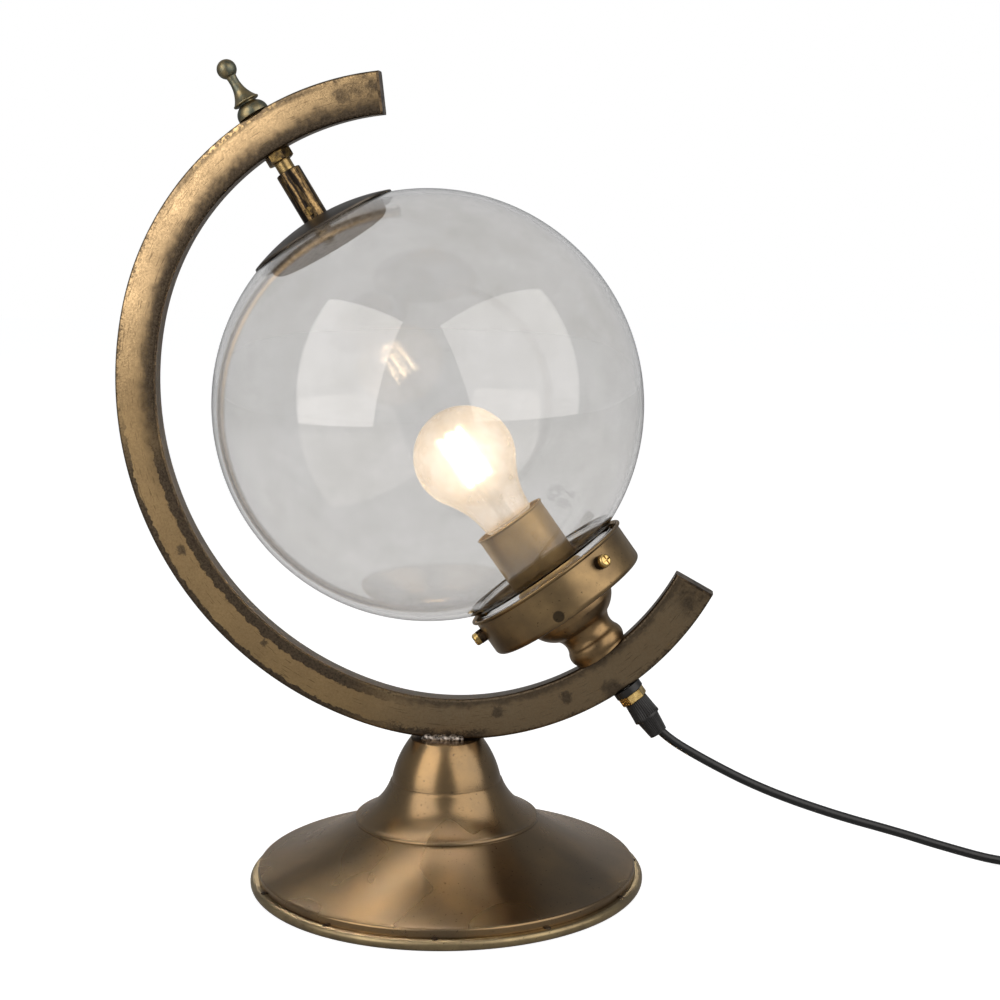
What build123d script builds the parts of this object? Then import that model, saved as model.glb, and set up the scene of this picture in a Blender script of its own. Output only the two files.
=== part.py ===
from build123d import *
import math
import os

# Globe table lamp: a clear glass globe held inside an open bow of flat tube, on a spun
# trumpet base. Millimetres, +Z up. The bow lies in the plane Y = 0 and opens towards +X.
# The origin is the centre of the base's underside.

# Base
shell_wall = 1.2
bell_height = 88.0
bell_top_radius = 21.0
bell_waist_height = 62.6
bell_waist_radius = 32.6
bell_step = 0.9
bell_shoulder_bulge = 1.7
bell_flare_sag = 3.0
bead_radius = 55.0
bead_height = 39.0
bead_size = 1.6
bead_roll = 120
skirt_sag = 2.8
lip_radius = 112.85
lip_height = 5.3
lip_round = 1.6
ring_radius = 117.6
ring_width = 9.6
ring_height = 5.9
ring_round = 2.6
ring_lift = 0.6
felt_thickness = 2.0
felt_margin = 0.5
plate_thickness = 1.5
ballast_radius = 80.0
ballast_height = 14.5
ballast_round = 3.0

# Bow: an oval in four arcs, of which three are there
bow_width = 24.5
bow_depth = 13.0
bow_wall = 1.5
bow_corner = 2.0
bow_clearance = 24.5
bow_stretch = 23.9
bow_swell = 9.5
bow_tilt = 60.3
bow_shift = -7.6
bow_upper_angle = 96.0
bow_lower_angle = 330.8
end_plate_thickness = 1.4
weld_radius = 1.9
weld_length = 24.0
weld_shift = 6.5

# Globe, cap and finial on the upper axis
globe_radius = 125.0
glass_wall = 2.5
globe_shift = -1.8
globe_rise = 3.3
upper_tilt = 31.0
lower_tilt = 35.2
globe_opening_radius = 39.25
glass_gap = 0.3
cap_wall = 0.9
cap_rim_radius = 45.4
cup_radius = 38.0
cup_wall = 0.8
cup_depth = 10.7
cup_round = 4.0
sleeve_radius = 7.5
sleeve_length = 31.7
sleeve_round = 0.8
rod_radius = 5.0
thread_gap = 0.05
rod_inset = 2.5
rod_grip = 5.2
nut_width = 14.0
nut_height = 6.0
nut_gap = 0.25
nut_chamfer = 0.6
set_screw_rise = 5.2
set_screw_radius = 1.5
set_screw_head_radius = 2.5
set_screw_head_height = 1.8
set_screw_slot = 0.7
finial_foot_radius = 9.4
finial_dome_height = 7.4
finial_dome_bulge = 1.5
finial_waist_radius = 4.9
finial_waist_height = 0.8
finial_collar_radius = 7.95
finial_collar_height = 1.2
finial_neck_radius = 3.05
finial_neck_sag = 1.75
finial_ball_radius = 5.75
finial_ball_height = 30.0

# Neck, gallery and pillar on the lower axis
neck_radius = 46.5
neck_reach = 15.0
neck_round = 5.0
neck_lip = 1.7
neck_lip_height = 4.0
seat_thickness = 2.2
seat_width = 6.0
gallery_gap = 1.3
gallery_wall = 0.9
gallery_depth = 23.3
gallery_round = 3.0
gallery_bead_radius = 1.0
gallery_screw_rise = 14.7
gallery_screw_angles = (46.6, 166.6, 286.6)
gallery_screw_radius = 2.0
gallery_screw_gap = 0.3
gallery_screw_head_radius = 3.8
gallery_screw_head_height = 3.4
gallery_screw_slot = 0.9
boss_radius = 4.0
boss_height = 3.6
pillar_flange_radius = 26.0
pillar_flange_height = 5.8
pillar_dish_bulge = 0.9
pillar_dish_radius = 17.5
pillar_dish_drop = 14.0
pillar_waist_radius = 15.5
pillar_throat_radius = 16.4
pillar_throat_rise = 10.4
pillar_bead_radius = 17.7
pillar_bead_rise = 6.4
pillar_foot_radius = 16.6
pillar_foot_rise = 2.2

# Lampholder and bulb
socket_radius = 21.6
socket_wall = 0.8
socket_height = 60.2
socket_bead = 0.7
holder_nut_height = 4.4
holder_radius = 19.5
holder_length = 46.0
holder_boss_radius = 8.0
holder_boss_length = 7.0
holder_round = 1.5
holder_rod_entry = 15.0
rod_bore_radius = 3.3
shell_radius = 13.5
shell_thickness = 0.4
shell_inset = 1.0
holder_cavity_depth = 29.3
contact_radius = 4.0
contact_height = 2.0
contact_gap = 0.3
bulb_length = 104.7
bulb_radius = 30.0
bulb_glass = 1.0
bulb_turn = 35.0
bulb_neck_radius = 15.5
bulb_neck_drop = 2.5
bulb_cap_radius = 13.2
bulb_cap_length = 23.6
bulb_cap_wall = 0.4
bulb_insulator_height = 3.0
bulb_tip_radius = 4.6
bulb_tip_height = 1.1
stem_radius = 4.0
filament_radius = 0.9
filament_length = 32.0
filament_spread = 6.5
filament_count = 4
frame_thickness = 0.8
frame_rim = 1.2
frame_wire_radius = 0.6

# Cable outlet
washer_radius = 8.8
washer_height = 4.0
washer_gap = 0.05
outlet_nut_width = 14.4
outlet_nut_turn = -17.0
outlet_nut_height = 5.8
grip_root_radius = 7.0
grip_mid_radius = 8.1
grip_mid_length = 12.2
grip_step = 1.1
grip_end_radius = 5.5
grip_length = 23.8
grip_rib_count = 14
grip_groove_depth = 0.6
grip_groove_width = 1.2
grip_margin = 1.0
rod_tail = 2.7

# Cord, switch, coil and plug
cord_diameter = 5.4
cord_grip = 16.0
cord_route = [
    (153.6, 2, 77.1),
    (187.9, 9, 58.3),
    (229.8, 21, 40.5),
    (272.4, 34, 25.7),
    (295.4, 41, 16.7),
    (335.7, 52, 2.9),
    (357.5, 54.8, 2.9),
    (374.4, 47.3, 4.6),
    (384.5, 31.8, 8),
    (384.5, 13.2, 8),
]
bend_share = 0.45
switch_length = 63.0
switch_width = 28.0
switch_half_height = 8.0
switch_round = 5.0
switch_edge = 2.0
switch_wall = 1.6
rocker_radius = 12.0
rocker_width = 14.0
rocker_trough = 5.0
rocker_slope = 8.0
rocker_skirt = 2.0
rocker_pivot_drop = 4.5
rocker_pin_radius = 1.2
rocker_pin_length = 1.6
lug_width = 2.0
lug_length = 6.0
lug_drop = 2.5
moulding_gap = 0.4
terminal_width = 5.0
terminal_length = 8.0
terminal_height = 6.0
terminal_spread = 30.0
switch_screw_radius = 1.5
switch_screw_head = 2.6
switch_screw_depth = 1.2
switch_screw_length = 12.0
switch_screw_inset = 7.0
switch_post_radius = 3.2
link_run = 10.8
link_fall_run = 14.0
link_lead = 11.0
coil_turns = 6.5
coil_reversals = (1.5, 3.25, 5.0)
coil_climb = 0.5
coil_step = 0.25
coil_start_radius = 35.0
coil_pitch = 6.0
coil_lift = 3.9
coil_gap_sample = 2.0
tie_gap = 0.3
tie_thickness = 1.0
tie_width = 6.0
tie_angle = 305.0
tail_route = [
    (454.5, -70, 21.9),
    (452.5, -44, 13.5),
    (447, -16, 7),
    (447, 0, 7),
]
plug_length = 35.0
plug_width = 26.0
plug_height = 14.0
plug_round = 4.5
plug_taper = 5.0
pin_radius = 2.0
pin_length = 19.0
pin_spread = 19.0
pin_root = 8.0

# Every cut runs this far past what it cuts
overrun = 5.0

on_base = (Align.CENTER, Align.CENTER, Align.MIN)
os.makedirs("parts", exist_ok=True)


def heading(angle):
    """Unit vector in the bow's plane, at an angle from +X towards +Z."""
    return Vector(math.cos(math.radians(angle)), 0, math.sin(math.radians(angle)))


def reach(direction, centre, radius):
    """Distance from the globe's centre, along a direction, to an arc of the bow."""
    offset_to_arc = centre - globe_centre
    along = direction.dot(offset_to_arc)
    return along + math.sqrt(along**2 - offset_to_arc.dot(offset_to_arc) + radius**2)


def band(inner, outer, start, end, mode=Mode.ADD):
    """Rectangle between two radii and two distances along an axis."""
    with Locations(((inner + outer) / 2, (start + end) / 2)):
        Rectangle(outer - inner, end - start, mode=mode)


def finish(part, name):
    part.part.label = name
    export_step(part.part, f"parts/{name}.step")


# The bow clears the globe all round; its oval is longer than a circle by the stretch and
# broader by the swell, and its arc centres follow from those
bow_end_radius = globe_radius + bow_clearance + bow_width
bow_side_radius = bow_end_radius + (bow_swell**2 + bow_stretch**2) / (2 * bow_swell)
bow_side_shift = bow_side_radius - bow_end_radius - bow_swell
bow_junction = math.degrees(math.atan2(bow_side_shift, bow_stretch))
neck_end = globe_radius + neck_reach
gallery_radius = neck_radius + neck_lip + gallery_gap + gallery_wall
ring_top = ring_lift + ring_height
lower_arc_centre_height = bell_height + bow_end_radius
bow_centre = Vector(
    bow_shift, 0, lower_arc_centre_height + bow_stretch * math.sin(math.radians(bow_tilt))
)
upper_arc_centre = bow_centre + heading(180 - bow_tilt) * bow_stretch
lower_arc_centre = bow_centre + heading(-bow_tilt) * bow_stretch
side_arc_centre = bow_centre + heading(90 - bow_tilt) * bow_side_shift
bow_inner_radius = bow_end_radius - bow_width

# The globe's two axes and the planes that its pieces are drawn in
globe_centre = bow_centre + Vector(globe_shift, 0, globe_rise)
upper_direction = heading(90 + upper_tilt)
lower_direction = heading(lower_tilt - 90)
upper_axis = Axis(globe_centre, upper_direction)
lower_axis = Axis(globe_centre, lower_direction)
upper_section = Plane(origin=globe_centre, x_dir=heading(upper_tilt), z_dir=(0, -1, 0))
lower_section = Plane(origin=globe_centre, x_dir=heading(lower_tilt), z_dir=(0, 1, 0))
upper_plane = Plane(origin=globe_centre, x_dir=heading(upper_tilt), z_dir=upper_direction)
lower_plane = Plane(origin=globe_centre, x_dir=heading(lower_tilt), z_dir=lower_direction)
upper_inner_seat = reach(upper_direction, upper_arc_centre, bow_inner_radius)
upper_outer_seat = reach(upper_direction, upper_arc_centre, bow_end_radius)
lower_inner_seat = reach(lower_direction, lower_arc_centre, bow_inner_radius)
lower_outer_seat = reach(lower_direction, lower_arc_centre, bow_end_radius)
rod_hole = rod_radius + thread_gap
print("seats", upper_inner_seat, upper_outer_seat, lower_inner_seat, lower_outer_seat)
print("globe centre", globe_centre)

# Base: the spun bell, from its flat top down to the lip that stands on the ring
with BuildPart() as base_bell:
    with BuildSketch(Plane.XZ):
        with BuildLine():
            top = Line((0, bell_height), (bell_top_radius, bell_height))
            shoulder = SagittaArc(
                top @ 1, (bell_waist_radius, bell_waist_height), bell_shoulder_bulge
            )
            step = Line(
                shoulder @ 1, (bell_waist_radius + bell_step, bell_waist_height - bell_step)
            )
            SagittaArc(
                step @ 1, (bead_radius - bead_size, bead_height + bead_size), -bell_flare_sag
            )
            bead = CenterArc((bead_radius - bead_size, bead_height), bead_size, 90, -bead_roll)
            SagittaArc(
                bead @ 1, (lip_radius - lip_round, ring_top + lip_height), -skirt_sag
            )
            rim = CenterArc(
                (lip_radius - lip_round, ring_top + lip_height - lip_round), lip_round, 90, -90
            )
            foot = Line(rim @ 1, (lip_radius, ring_top))
            under = Line(foot @ 1, (0, ring_top))
            Line(under @ 1, top @ 0)
        make_face()
    revolve(axis=Axis.Z)
    offset(amount=-shell_wall, openings=base_bell.faces().sort_by(Axis.Z)[0])
finish(base_bell, "base_bell")

with BuildPart() as base_ring:
    with BuildSketch(Plane.XZ):
        band(ring_radius - ring_width, ring_radius, ring_lift, ring_top)
    revolve(axis=Axis.Z)
    fillet(base_ring.edges().filter_by(GeomType.CIRCLE).group_by(SortBy.RADIUS)[-1], ring_round)
finish(base_ring, "base_ring")

plate_radius = ring_radius - ring_width
plate_top = felt_thickness + plate_thickness
with BuildPart(Plane.XY.offset(felt_thickness)) as base_plate:
    Cylinder(plate_radius, plate_thickness, align=on_base)
finish(base_plate, "base_plate")

with BuildPart() as felt_pad:
    Cylinder(plate_radius - felt_margin, felt_thickness, align=on_base)
finish(felt_pad, "felt_pad")

with BuildPart(Plane.XY.offset(plate_top)) as ballast:
    Cylinder(ballast_radius, ballast_height, align=on_base)
    fillet(ballast.edges().group_by(Axis.Z)[-1], ballast_round)
finish(ballast, "ballast")

# Bow: the tube follows the middle of its width round the upper end, the side and the lower end
upper_sweep = 180 - bow_tilt + bow_junction - bow_upper_angle
side_start = bow_upper_angle + upper_sweep
side_sweep = 180 - 2 * bow_junction
lower_start = side_start + side_sweep
lower_sweep = bow_lower_angle - lower_start
bow_middle = bow_width / 2
with BuildPart() as bow_tube:
    with BuildLine(Plane.XZ) as bow_path:
        CenterArc(
            (upper_arc_centre.X, upper_arc_centre.Z),
            bow_end_radius - bow_middle,
            bow_upper_angle,
            upper_sweep,
        )
        CenterArc(
            (side_arc_centre.X, side_arc_centre.Z),
            bow_side_radius - bow_middle,
            side_start,
            side_sweep,
        )
        CenterArc(
            (lower_arc_centre.X, lower_arc_centre.Z),
            bow_end_radius - bow_middle,
            lower_start,
            lower_sweep,
        )
    upper_end_plane = Plane(
        origin=bow_path.line @ 0, x_dir=heading(bow_upper_angle), z_dir=bow_path.line % 0
    )
    lower_end_plane = Plane(
        origin=bow_path.line @ 1, x_dir=heading(bow_lower_angle), z_dir=bow_path.line % 1
    )
    with BuildSketch(upper_end_plane):
        RectangleRounded(bow_width, bow_depth, bow_corner)
    sweep(path=bow_path.line)
    with BuildSketch(upper_end_plane):
        RectangleRounded(
            bow_width - 2 * bow_wall, bow_depth - 2 * bow_wall, bow_corner - bow_wall
        )
    sweep(path=bow_path.line, mode=Mode.SUBTRACT)
    with Locations(upper_plane):
        Cylinder(rod_hole, upper_outer_seat + overrun, align=on_base, mode=Mode.SUBTRACT)
    with Locations(lower_plane):
        Cylinder(rod_hole, lower_outer_seat + overrun, align=on_base, mode=Mode.SUBTRACT)
finish(bow_tube, "bow_tube")

with BuildPart() as bow_plate_upper:
    with BuildSketch(upper_end_plane):
        RectangleRounded(bow_width, bow_depth, bow_corner)
    extrude(amount=-end_plate_thickness)
finish(bow_plate_upper, "bow_plate_upper")

with BuildPart() as bow_plate_lower:
    with BuildSketch(lower_end_plane):
        RectangleRounded(bow_width, bow_depth, bow_corner)
    extrude(amount=end_plate_thickness)
finish(bow_plate_lower, "bow_plate_lower")

# Weld: one bead in front of the tube and one behind it
weld_middle = lower_arc_centre.X - weld_shift
with BuildPart(Plane.XY.offset(bell_height)) as weld_bead:
    with Locations((weld_middle, 0)):
        with GridLocations(0, bow_depth, 1, 2):
            Cylinder(weld_radius, weld_length, rotation=(0, 90, 0))
finish(weld_bead, "weld_bead")

# Finial, rod and nut that hold the upper end
with BuildPart() as finial:
    collar_foot = finial_dome_height + finial_waist_height
    ball_foot = finial_ball_height - math.sqrt(finial_ball_radius**2 - finial_neck_radius**2)
    with BuildSketch(upper_section.shift_origin(upper_axis.position + upper_direction * upper_outer_seat)):
        with BuildLine():
            Line((0, 0), (finial_foot_radius, 0))
            SagittaArc(
                (finial_foot_radius, 0),
                (finial_waist_radius, finial_dome_height),
                -finial_dome_bulge,
            )
            Line(
                (finial_waist_radius, finial_dome_height),
                (finial_waist_radius, collar_foot),
            )
            Line((finial_waist_radius, collar_foot), (finial_collar_radius, collar_foot))
            Line(
                (finial_collar_radius, collar_foot),
                (finial_collar_radius, collar_foot + finial_collar_height),
            )
            SagittaArc(
                (finial_collar_radius, collar_foot + finial_collar_height),
                (finial_neck_radius, ball_foot),
                finial_neck_sag,
            )
            ThreePointArc(
                (finial_neck_radius, ball_foot),
                (finial_ball_radius, finial_ball_height),
                (0, finial_ball_height + finial_ball_radius),
            )
            Line((0, finial_ball_height + finial_ball_radius), (0, 0))
        make_face()
    revolve(axis=upper_axis)
    with Locations(upper_plane.offset(upper_outer_seat)):
        Cylinder(rod_hole, rod_grip, align=on_base, mode=Mode.SUBTRACT)
finish(finial, "finial")

cap_underside = globe_radius + glass_gap
rod_foot = cap_underside + rod_inset
with BuildPart(upper_plane.offset(rod_foot)) as crown_rod:
    Cylinder(rod_radius, upper_outer_seat + rod_grip - rod_foot, align=on_base)
finish(crown_rod, "crown_rod")

crown_nut_foot = upper_inner_seat - nut_gap - nut_height
with BuildPart() as crown_nut:
    with BuildSketch(upper_plane.offset(crown_nut_foot)):
        RegularPolygon(nut_width / 2, 6, major_radius=False)
    extrude(amount=nut_height)
    chamfer(crown_nut.edges().filter_by(upper_plane), nut_chamfer)
    with Locations(upper_plane.offset(crown_nut_foot)):
        Cylinder(rod_hole, nut_height, align=on_base, mode=Mode.SUBTRACT)
finish(crown_nut, "crown_nut")

# Globe cap: sleeve, domed cap and the cup under it; they slide together on the rod
set_screw_plane = Plane(
    origin=globe_centre + upper_direction * (cap_underside + set_screw_rise),
    x_dir=upper_direction,
    z_dir=(0, -1, 0),
)
with BuildPart() as cap_sleeve:
    with BuildSketch(upper_section):
        band(rod_hole, sleeve_radius, cap_underside, cap_underside + sleeve_length)
    revolve(axis=upper_axis)
    fillet(cap_sleeve.edges().group_by(upper_axis)[-1].sort_by(SortBy.RADIUS)[-1], sleeve_round)
    with Locations(set_screw_plane):
        Cylinder(
            set_screw_radius + thread_gap,
            sleeve_radius + overrun,
            align=on_base,
            mode=Mode.SUBTRACT,
        )
finish(cap_sleeve, "cap_sleeve")

with BuildPart(set_screw_plane.offset(rod_hole)) as sleeve_screw:
    Cylinder(set_screw_radius, sleeve_radius - rod_hole + glass_gap, align=on_base)
    with Locations((0, 0, sleeve_radius - rod_hole + glass_gap)):
        Cylinder(set_screw_head_radius, set_screw_head_height, align=on_base)
    with Locations((0, 0, sleeve_radius - rod_hole + glass_gap + set_screw_head_height)):
        Box(
            2 * set_screw_head_radius,
            set_screw_slot,
            set_screw_head_height,
            mode=Mode.SUBTRACT,
        )
finish(sleeve_screw, "sleeve_screw")

with BuildPart() as globe_cap:
    with BuildSketch(upper_section):
        Circle(cap_underside + cap_wall)
        Circle(cap_underside, mode=Mode.SUBTRACT)
        band(sleeve_radius, cap_rim_radius, 0, cap_underside + overrun, mode=Mode.INTERSECT)
    revolve(axis=upper_axis)
finish(globe_cap, "globe_cap")

opening_distance = math.sqrt(globe_radius**2 - globe_opening_radius**2)
cup_floor = opening_distance - cup_depth + cup_wall / 2
cup_rim = math.sqrt(cap_underside**2 - cup_radius**2)
with BuildPart() as cap_cup:
    with BuildSketch(upper_section):
        with BuildLine():
            FilletPolyline(
                (0, cup_floor),
                (cup_radius - cup_wall / 2, cup_floor),
                (cup_radius - cup_wall / 2, cup_rim),
                radius=cup_round,
            )
        trace(line_width=cup_wall)
    revolve(axis=upper_axis)
finish(cap_cup, "cap_cup")

# Globe: a ball with a neck along the lower axis and an opening along the upper one
with BuildPart() as glass_globe:
    with Locations(lower_plane):
        Sphere(globe_radius)
        Cylinder(neck_radius, neck_end, align=on_base)
    neck_circles = glass_globe.edges().filter_by(GeomType.CIRCLE).group_by(SortBy.RADIUS)[0]
    fillet(neck_circles.sort_by_distance(globe_centre)[0], neck_round)
    with Locations(lower_plane.offset(neck_end - neck_lip_height)):
        Cylinder(neck_radius + neck_lip, neck_lip_height, align=on_base)
    with Locations(lower_plane):
        Sphere(globe_radius - glass_wall, mode=Mode.SUBTRACT)
        Cylinder(
            neck_radius - glass_wall, neck_end + overrun, align=on_base, mode=Mode.SUBTRACT
        )
    with Locations(upper_plane):
        Cylinder(
            globe_opening_radius, globe_radius + overrun, align=on_base, mode=Mode.SUBTRACT
        )
finish(glass_globe, "glass_globe")

# Gallery: the cup that holds the neck, with three screws that stop just off the glass
gallery_floor = neck_end + seat_thickness
gallery_underside = gallery_floor + gallery_wall
gallery_rim = gallery_floor - gallery_depth
gallery_screw_place = gallery_floor - gallery_screw_rise
with BuildPart() as seat_ring:
    with BuildSketch(lower_section):
        band(neck_radius - seat_width, neck_radius, neck_end, gallery_floor)
    revolve(axis=lower_axis)
finish(seat_ring, "seat_ring")


def spoke(angle):
    """Plane at the gallery screws' height whose normal points out from the lower axis."""
    turn = math.radians(angle)
    return Plane(
        origin=globe_centre + lower_direction * gallery_screw_place,
        x_dir=lower_direction,
        z_dir=lower_plane.x_dir * math.cos(turn) + lower_plane.y_dir * math.sin(turn),
    )


gallery_spokes = [spoke(angle) for angle in gallery_screw_angles]
with BuildPart() as gallery:
    with BuildSketch(lower_section):
        with BuildLine():
            FilletPolyline(
                (rod_hole, gallery_floor + gallery_wall / 2),
                (gallery_radius - gallery_wall / 2, gallery_floor + gallery_wall / 2),
                (gallery_radius - gallery_wall / 2, gallery_rim),
                radius=gallery_round,
            )
        trace(line_width=gallery_wall)
        with Locations((gallery_radius + gallery_wall, gallery_rim)):
            Circle(gallery_bead_radius)
    revolve(axis=lower_axis)
    with Locations(*gallery_spokes):
        Cylinder(
            gallery_screw_radius + thread_gap,
            gallery_radius + overrun,
            align=on_base,
            mode=Mode.SUBTRACT,
        )
finish(gallery, "gallery")

with BuildPart() as gallery_bosses:
    with Locations(*gallery_spokes):
        Cylinder(boss_radius, gallery_radius + boss_height, align=on_base)
        Cylinder(
            gallery_screw_radius + thread_gap,
            gallery_radius + boss_height + overrun,
            align=on_base,
            mode=Mode.SUBTRACT,
        )
    with Locations(lower_plane):
        Cylinder(gallery_radius, gallery_floor, align=on_base, mode=Mode.SUBTRACT)
finish(gallery_bosses, "gallery_bosses")

screw_tip = neck_radius + gallery_screw_gap
screw_head_foot = gallery_radius + boss_height
screw_head_top = screw_head_foot + gallery_screw_head_height
for letter, screw_plane in zip("abc", gallery_spokes):
    with BuildPart(screw_plane) as gallery_screw:
        with Locations((0, 0, screw_tip)):
            Cylinder(gallery_screw_radius, screw_head_foot - screw_tip, align=on_base)
        with Locations((0, 0, screw_head_foot)):
            Cylinder(gallery_screw_head_radius, gallery_screw_head_height, align=on_base)
        fillet(
            gallery_screw.edges().sort_by_distance(screw_plane.origin)[-1],
            gallery_screw_head_height / 2,
        )
        with Locations((0, 0, screw_head_top)):
            Box(
                2 * gallery_screw_head_radius - 2 * gallery_screw_slot,
                gallery_screw_slot,
                gallery_screw_head_height,
                mode=Mode.SUBTRACT,
            )
            Box(
                gallery_screw_slot,
                2 * gallery_screw_head_radius - 2 * gallery_screw_slot,
                gallery_screw_head_height,
                mode=Mode.SUBTRACT,
            )
    finish(gallery_screw, f"gallery_screw_{letter}")

# Pillar: turned piece between gallery and bow, its foot cut to the bow's inside
pillar_flange_end = gallery_underside + pillar_flange_height
pillar_dish_end = gallery_underside + pillar_dish_drop
pillar_throat = lower_inner_seat - pillar_throat_rise
with BuildPart() as pillar:
    with BuildSketch(lower_section):
        with BuildLine():
            Polyline(
                (0, gallery_underside),
                (pillar_flange_radius, gallery_underside),
                (pillar_flange_radius, pillar_flange_end),
            )
            SagittaArc(
                (pillar_flange_radius, pillar_flange_end),
                (pillar_dish_radius, pillar_dish_end),
                -pillar_dish_bulge,
            )
            ThreePointArc(
                (pillar_dish_radius, pillar_dish_end),
                (pillar_waist_radius, (pillar_dish_end + pillar_throat) / 2),
                (pillar_throat_radius, pillar_throat),
            )
            ThreePointArc(
                (pillar_throat_radius, pillar_throat),
                (pillar_bead_radius, lower_inner_seat - pillar_bead_rise),
                (pillar_foot_radius, lower_inner_seat - pillar_foot_rise),
            )
            Polyline(
                (pillar_foot_radius, lower_inner_seat - pillar_foot_rise),
                (pillar_foot_radius, lower_inner_seat + overrun),
                (0, lower_inner_seat + overrun),
                (0, gallery_underside),
            )
        make_face()
    revolve(axis=lower_axis)
    with Locations(lower_plane):
        Cylinder(rod_hole, lower_outer_seat, align=on_base, mode=Mode.SUBTRACT)
    with Locations(Plane(origin=lower_arc_centre, z_dir=(0, 1, 0))):
        Cylinder(bow_inner_radius, 4 * pillar_flange_radius, mode=Mode.INTERSECT)
finish(pillar, "pillar")

# Lampholder: cup, nut, hollow rod, body with its screw shell and centre contact
socket_rim = gallery_floor - socket_height
socket_floor = gallery_floor - socket_wall
with BuildPart() as socket_cup:
    with BuildSketch(lower_section):
        with BuildLine():
            FilletPolyline(
                (rod_hole, gallery_floor - socket_wall / 2),
                (socket_radius - socket_wall / 2, gallery_floor - socket_wall / 2),
                (socket_radius - socket_wall / 2, socket_rim),
                radius=gallery_round,
            )
        trace(line_width=socket_wall)
        with Locations((socket_radius, socket_rim)):
            Circle(socket_bead)
    revolve(axis=lower_axis)
finish(socket_cup, "socket_cup")

holder_nut_foot = socket_floor - holder_nut_height
with BuildPart() as holder_nut:
    with BuildSketch(lower_plane.offset(holder_nut_foot)):
        RegularPolygon(nut_width / 2, 6, major_radius=False)
    extrude(amount=holder_nut_height)
    with Locations(lower_plane.offset(holder_nut_foot)):
        Cylinder(rod_hole, holder_nut_height, align=on_base, mode=Mode.SUBTRACT)
finish(holder_nut, "holder_nut")

washer_start = lower_outer_seat + washer_gap
outlet_nut_start = washer_start + washer_height
grip_start = outlet_nut_start + outlet_nut_height
grip_end = grip_start + grip_length
holder_rod_start = holder_nut_foot - holder_rod_entry
with BuildPart() as holder_rod:
    with BuildSketch(lower_section):
        band(rod_bore_radius, rod_radius, holder_rod_start, grip_start + rod_tail)
    revolve(axis=lower_axis)
finish(holder_rod, "holder_rod")

holder_foot = holder_nut_foot - holder_boss_length
holder_top = holder_foot - holder_length
cavity_radius = shell_radius + shell_thickness
cavity_floor = holder_top + holder_cavity_depth
with BuildPart() as lampholder_body:
    with BuildSketch(lower_section):
        band(0, holder_radius, holder_top, holder_foot)
        band(0, holder_boss_radius, holder_foot, holder_nut_foot)
        band(0, cavity_radius, holder_top, cavity_floor, mode=Mode.SUBTRACT)
        band(0, rod_bore_radius, cavity_floor, holder_rod_start, mode=Mode.SUBTRACT)
        band(0, rod_hole, holder_rod_start, holder_nut_foot, mode=Mode.SUBTRACT)
    revolve(axis=lower_axis)
    fillet(
        lampholder_body.edges().filter_by(GeomType.CIRCLE).group_by(SortBy.RADIUS)[-1],
        holder_round,
    )
finish(lampholder_body, "lampholder_body")

contact_face = cavity_floor - contact_height
with BuildPart() as screw_shell:
    with BuildSketch(lower_section):
        band(shell_radius, cavity_radius, holder_top + shell_inset, contact_face - shell_inset)
    revolve(axis=lower_axis)
finish(screw_shell, "screw_shell")

with BuildPart(lower_plane.offset(contact_face)) as centre_contact:
    Cylinder(contact_radius, contact_height, align=on_base)
finish(centre_contact, "centre_contact")

# Bulb: it turns about the lower axis in the screw shell
bulb_end = contact_face - contact_gap
insulator_end = bulb_end - bulb_tip_height
bulb_cap_end = insulator_end - bulb_insulator_height
bulb_cap_start = bulb_cap_end - bulb_cap_length
bulb_centre = bulb_end - bulb_length + bulb_radius
with BuildPart() as bulb_glass_shell:
    for inset, mode in ((0, Mode.ADD), (bulb_glass, Mode.SUBTRACT)):
        with BuildSketch(lower_section):
            with BuildLine():
                crown = CenterArc((0, bulb_centre), bulb_radius - inset, -90, 90 + bulb_turn)
                side = TangentArc(
                    crown @ 1,
                    (bulb_neck_radius - inset, bulb_cap_start - bulb_neck_drop),
                    tangent=crown % 1,
                )
                neck = Line(side @ 1, (bulb_cap_radius - inset, bulb_cap_start))
                close = Line(neck @ 1, (0, bulb_cap_start))
                Line(close @ 1, crown @ 0)
            make_face()
        revolve(axis=lower_axis, mode=mode)
finish(bulb_glass_shell, "bulb_glass")

with BuildPart() as bulb_cap:
    with BuildSketch(lower_section):
        band(bulb_cap_radius - bulb_cap_wall, bulb_cap_radius, bulb_cap_start, bulb_cap_end)
    revolve(axis=lower_axis)
finish(bulb_cap, "bulb_cap")

with BuildPart() as bulb_insulator:
    with BuildSketch(lower_section):
        with BuildLine():
            Polyline(
                (0, bulb_cap_end),
                (bulb_cap_radius, bulb_cap_end),
                (bulb_tip_radius, insulator_end),
                (0, insulator_end),
                close=True,
            )
        make_face()
    revolve(axis=lower_axis)
finish(bulb_insulator, "bulb_insulator")

with BuildPart(lower_plane.offset(insulator_end)) as bulb_tip:
    Cylinder(bulb_tip_radius, bulb_tip_height, align=on_base)
finish(bulb_tip, "bulb_tip")

filament_start = bulb_centre - filament_length / 2
filament_end = bulb_centre + filament_length / 2
stem_start = filament_end + frame_thickness
with BuildPart(lower_plane.offset(stem_start)) as bulb_stem:
    Cylinder(stem_radius, bulb_cap_end - stem_start, align=on_base)
finish(bulb_stem, "bulb_stem")

with BuildPart() as filament_frame:
    with Locations(lower_plane.offset(filament_start)):
        Cylinder(frame_wire_radius, filament_length, align=on_base)
    with Locations(
        lower_plane.offset(filament_start - frame_thickness), lower_plane.offset(filament_end)
    ):
        Cylinder(filament_spread + frame_rim, frame_thickness, align=on_base)
finish(filament_frame, "filament_frame")

with BuildPart(lower_plane.offset(filament_start)) as filaments:
    with PolarLocations(filament_spread, filament_count):
        Cylinder(filament_radius, filament_length, align=on_base)
finish(filaments, "filaments")

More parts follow.
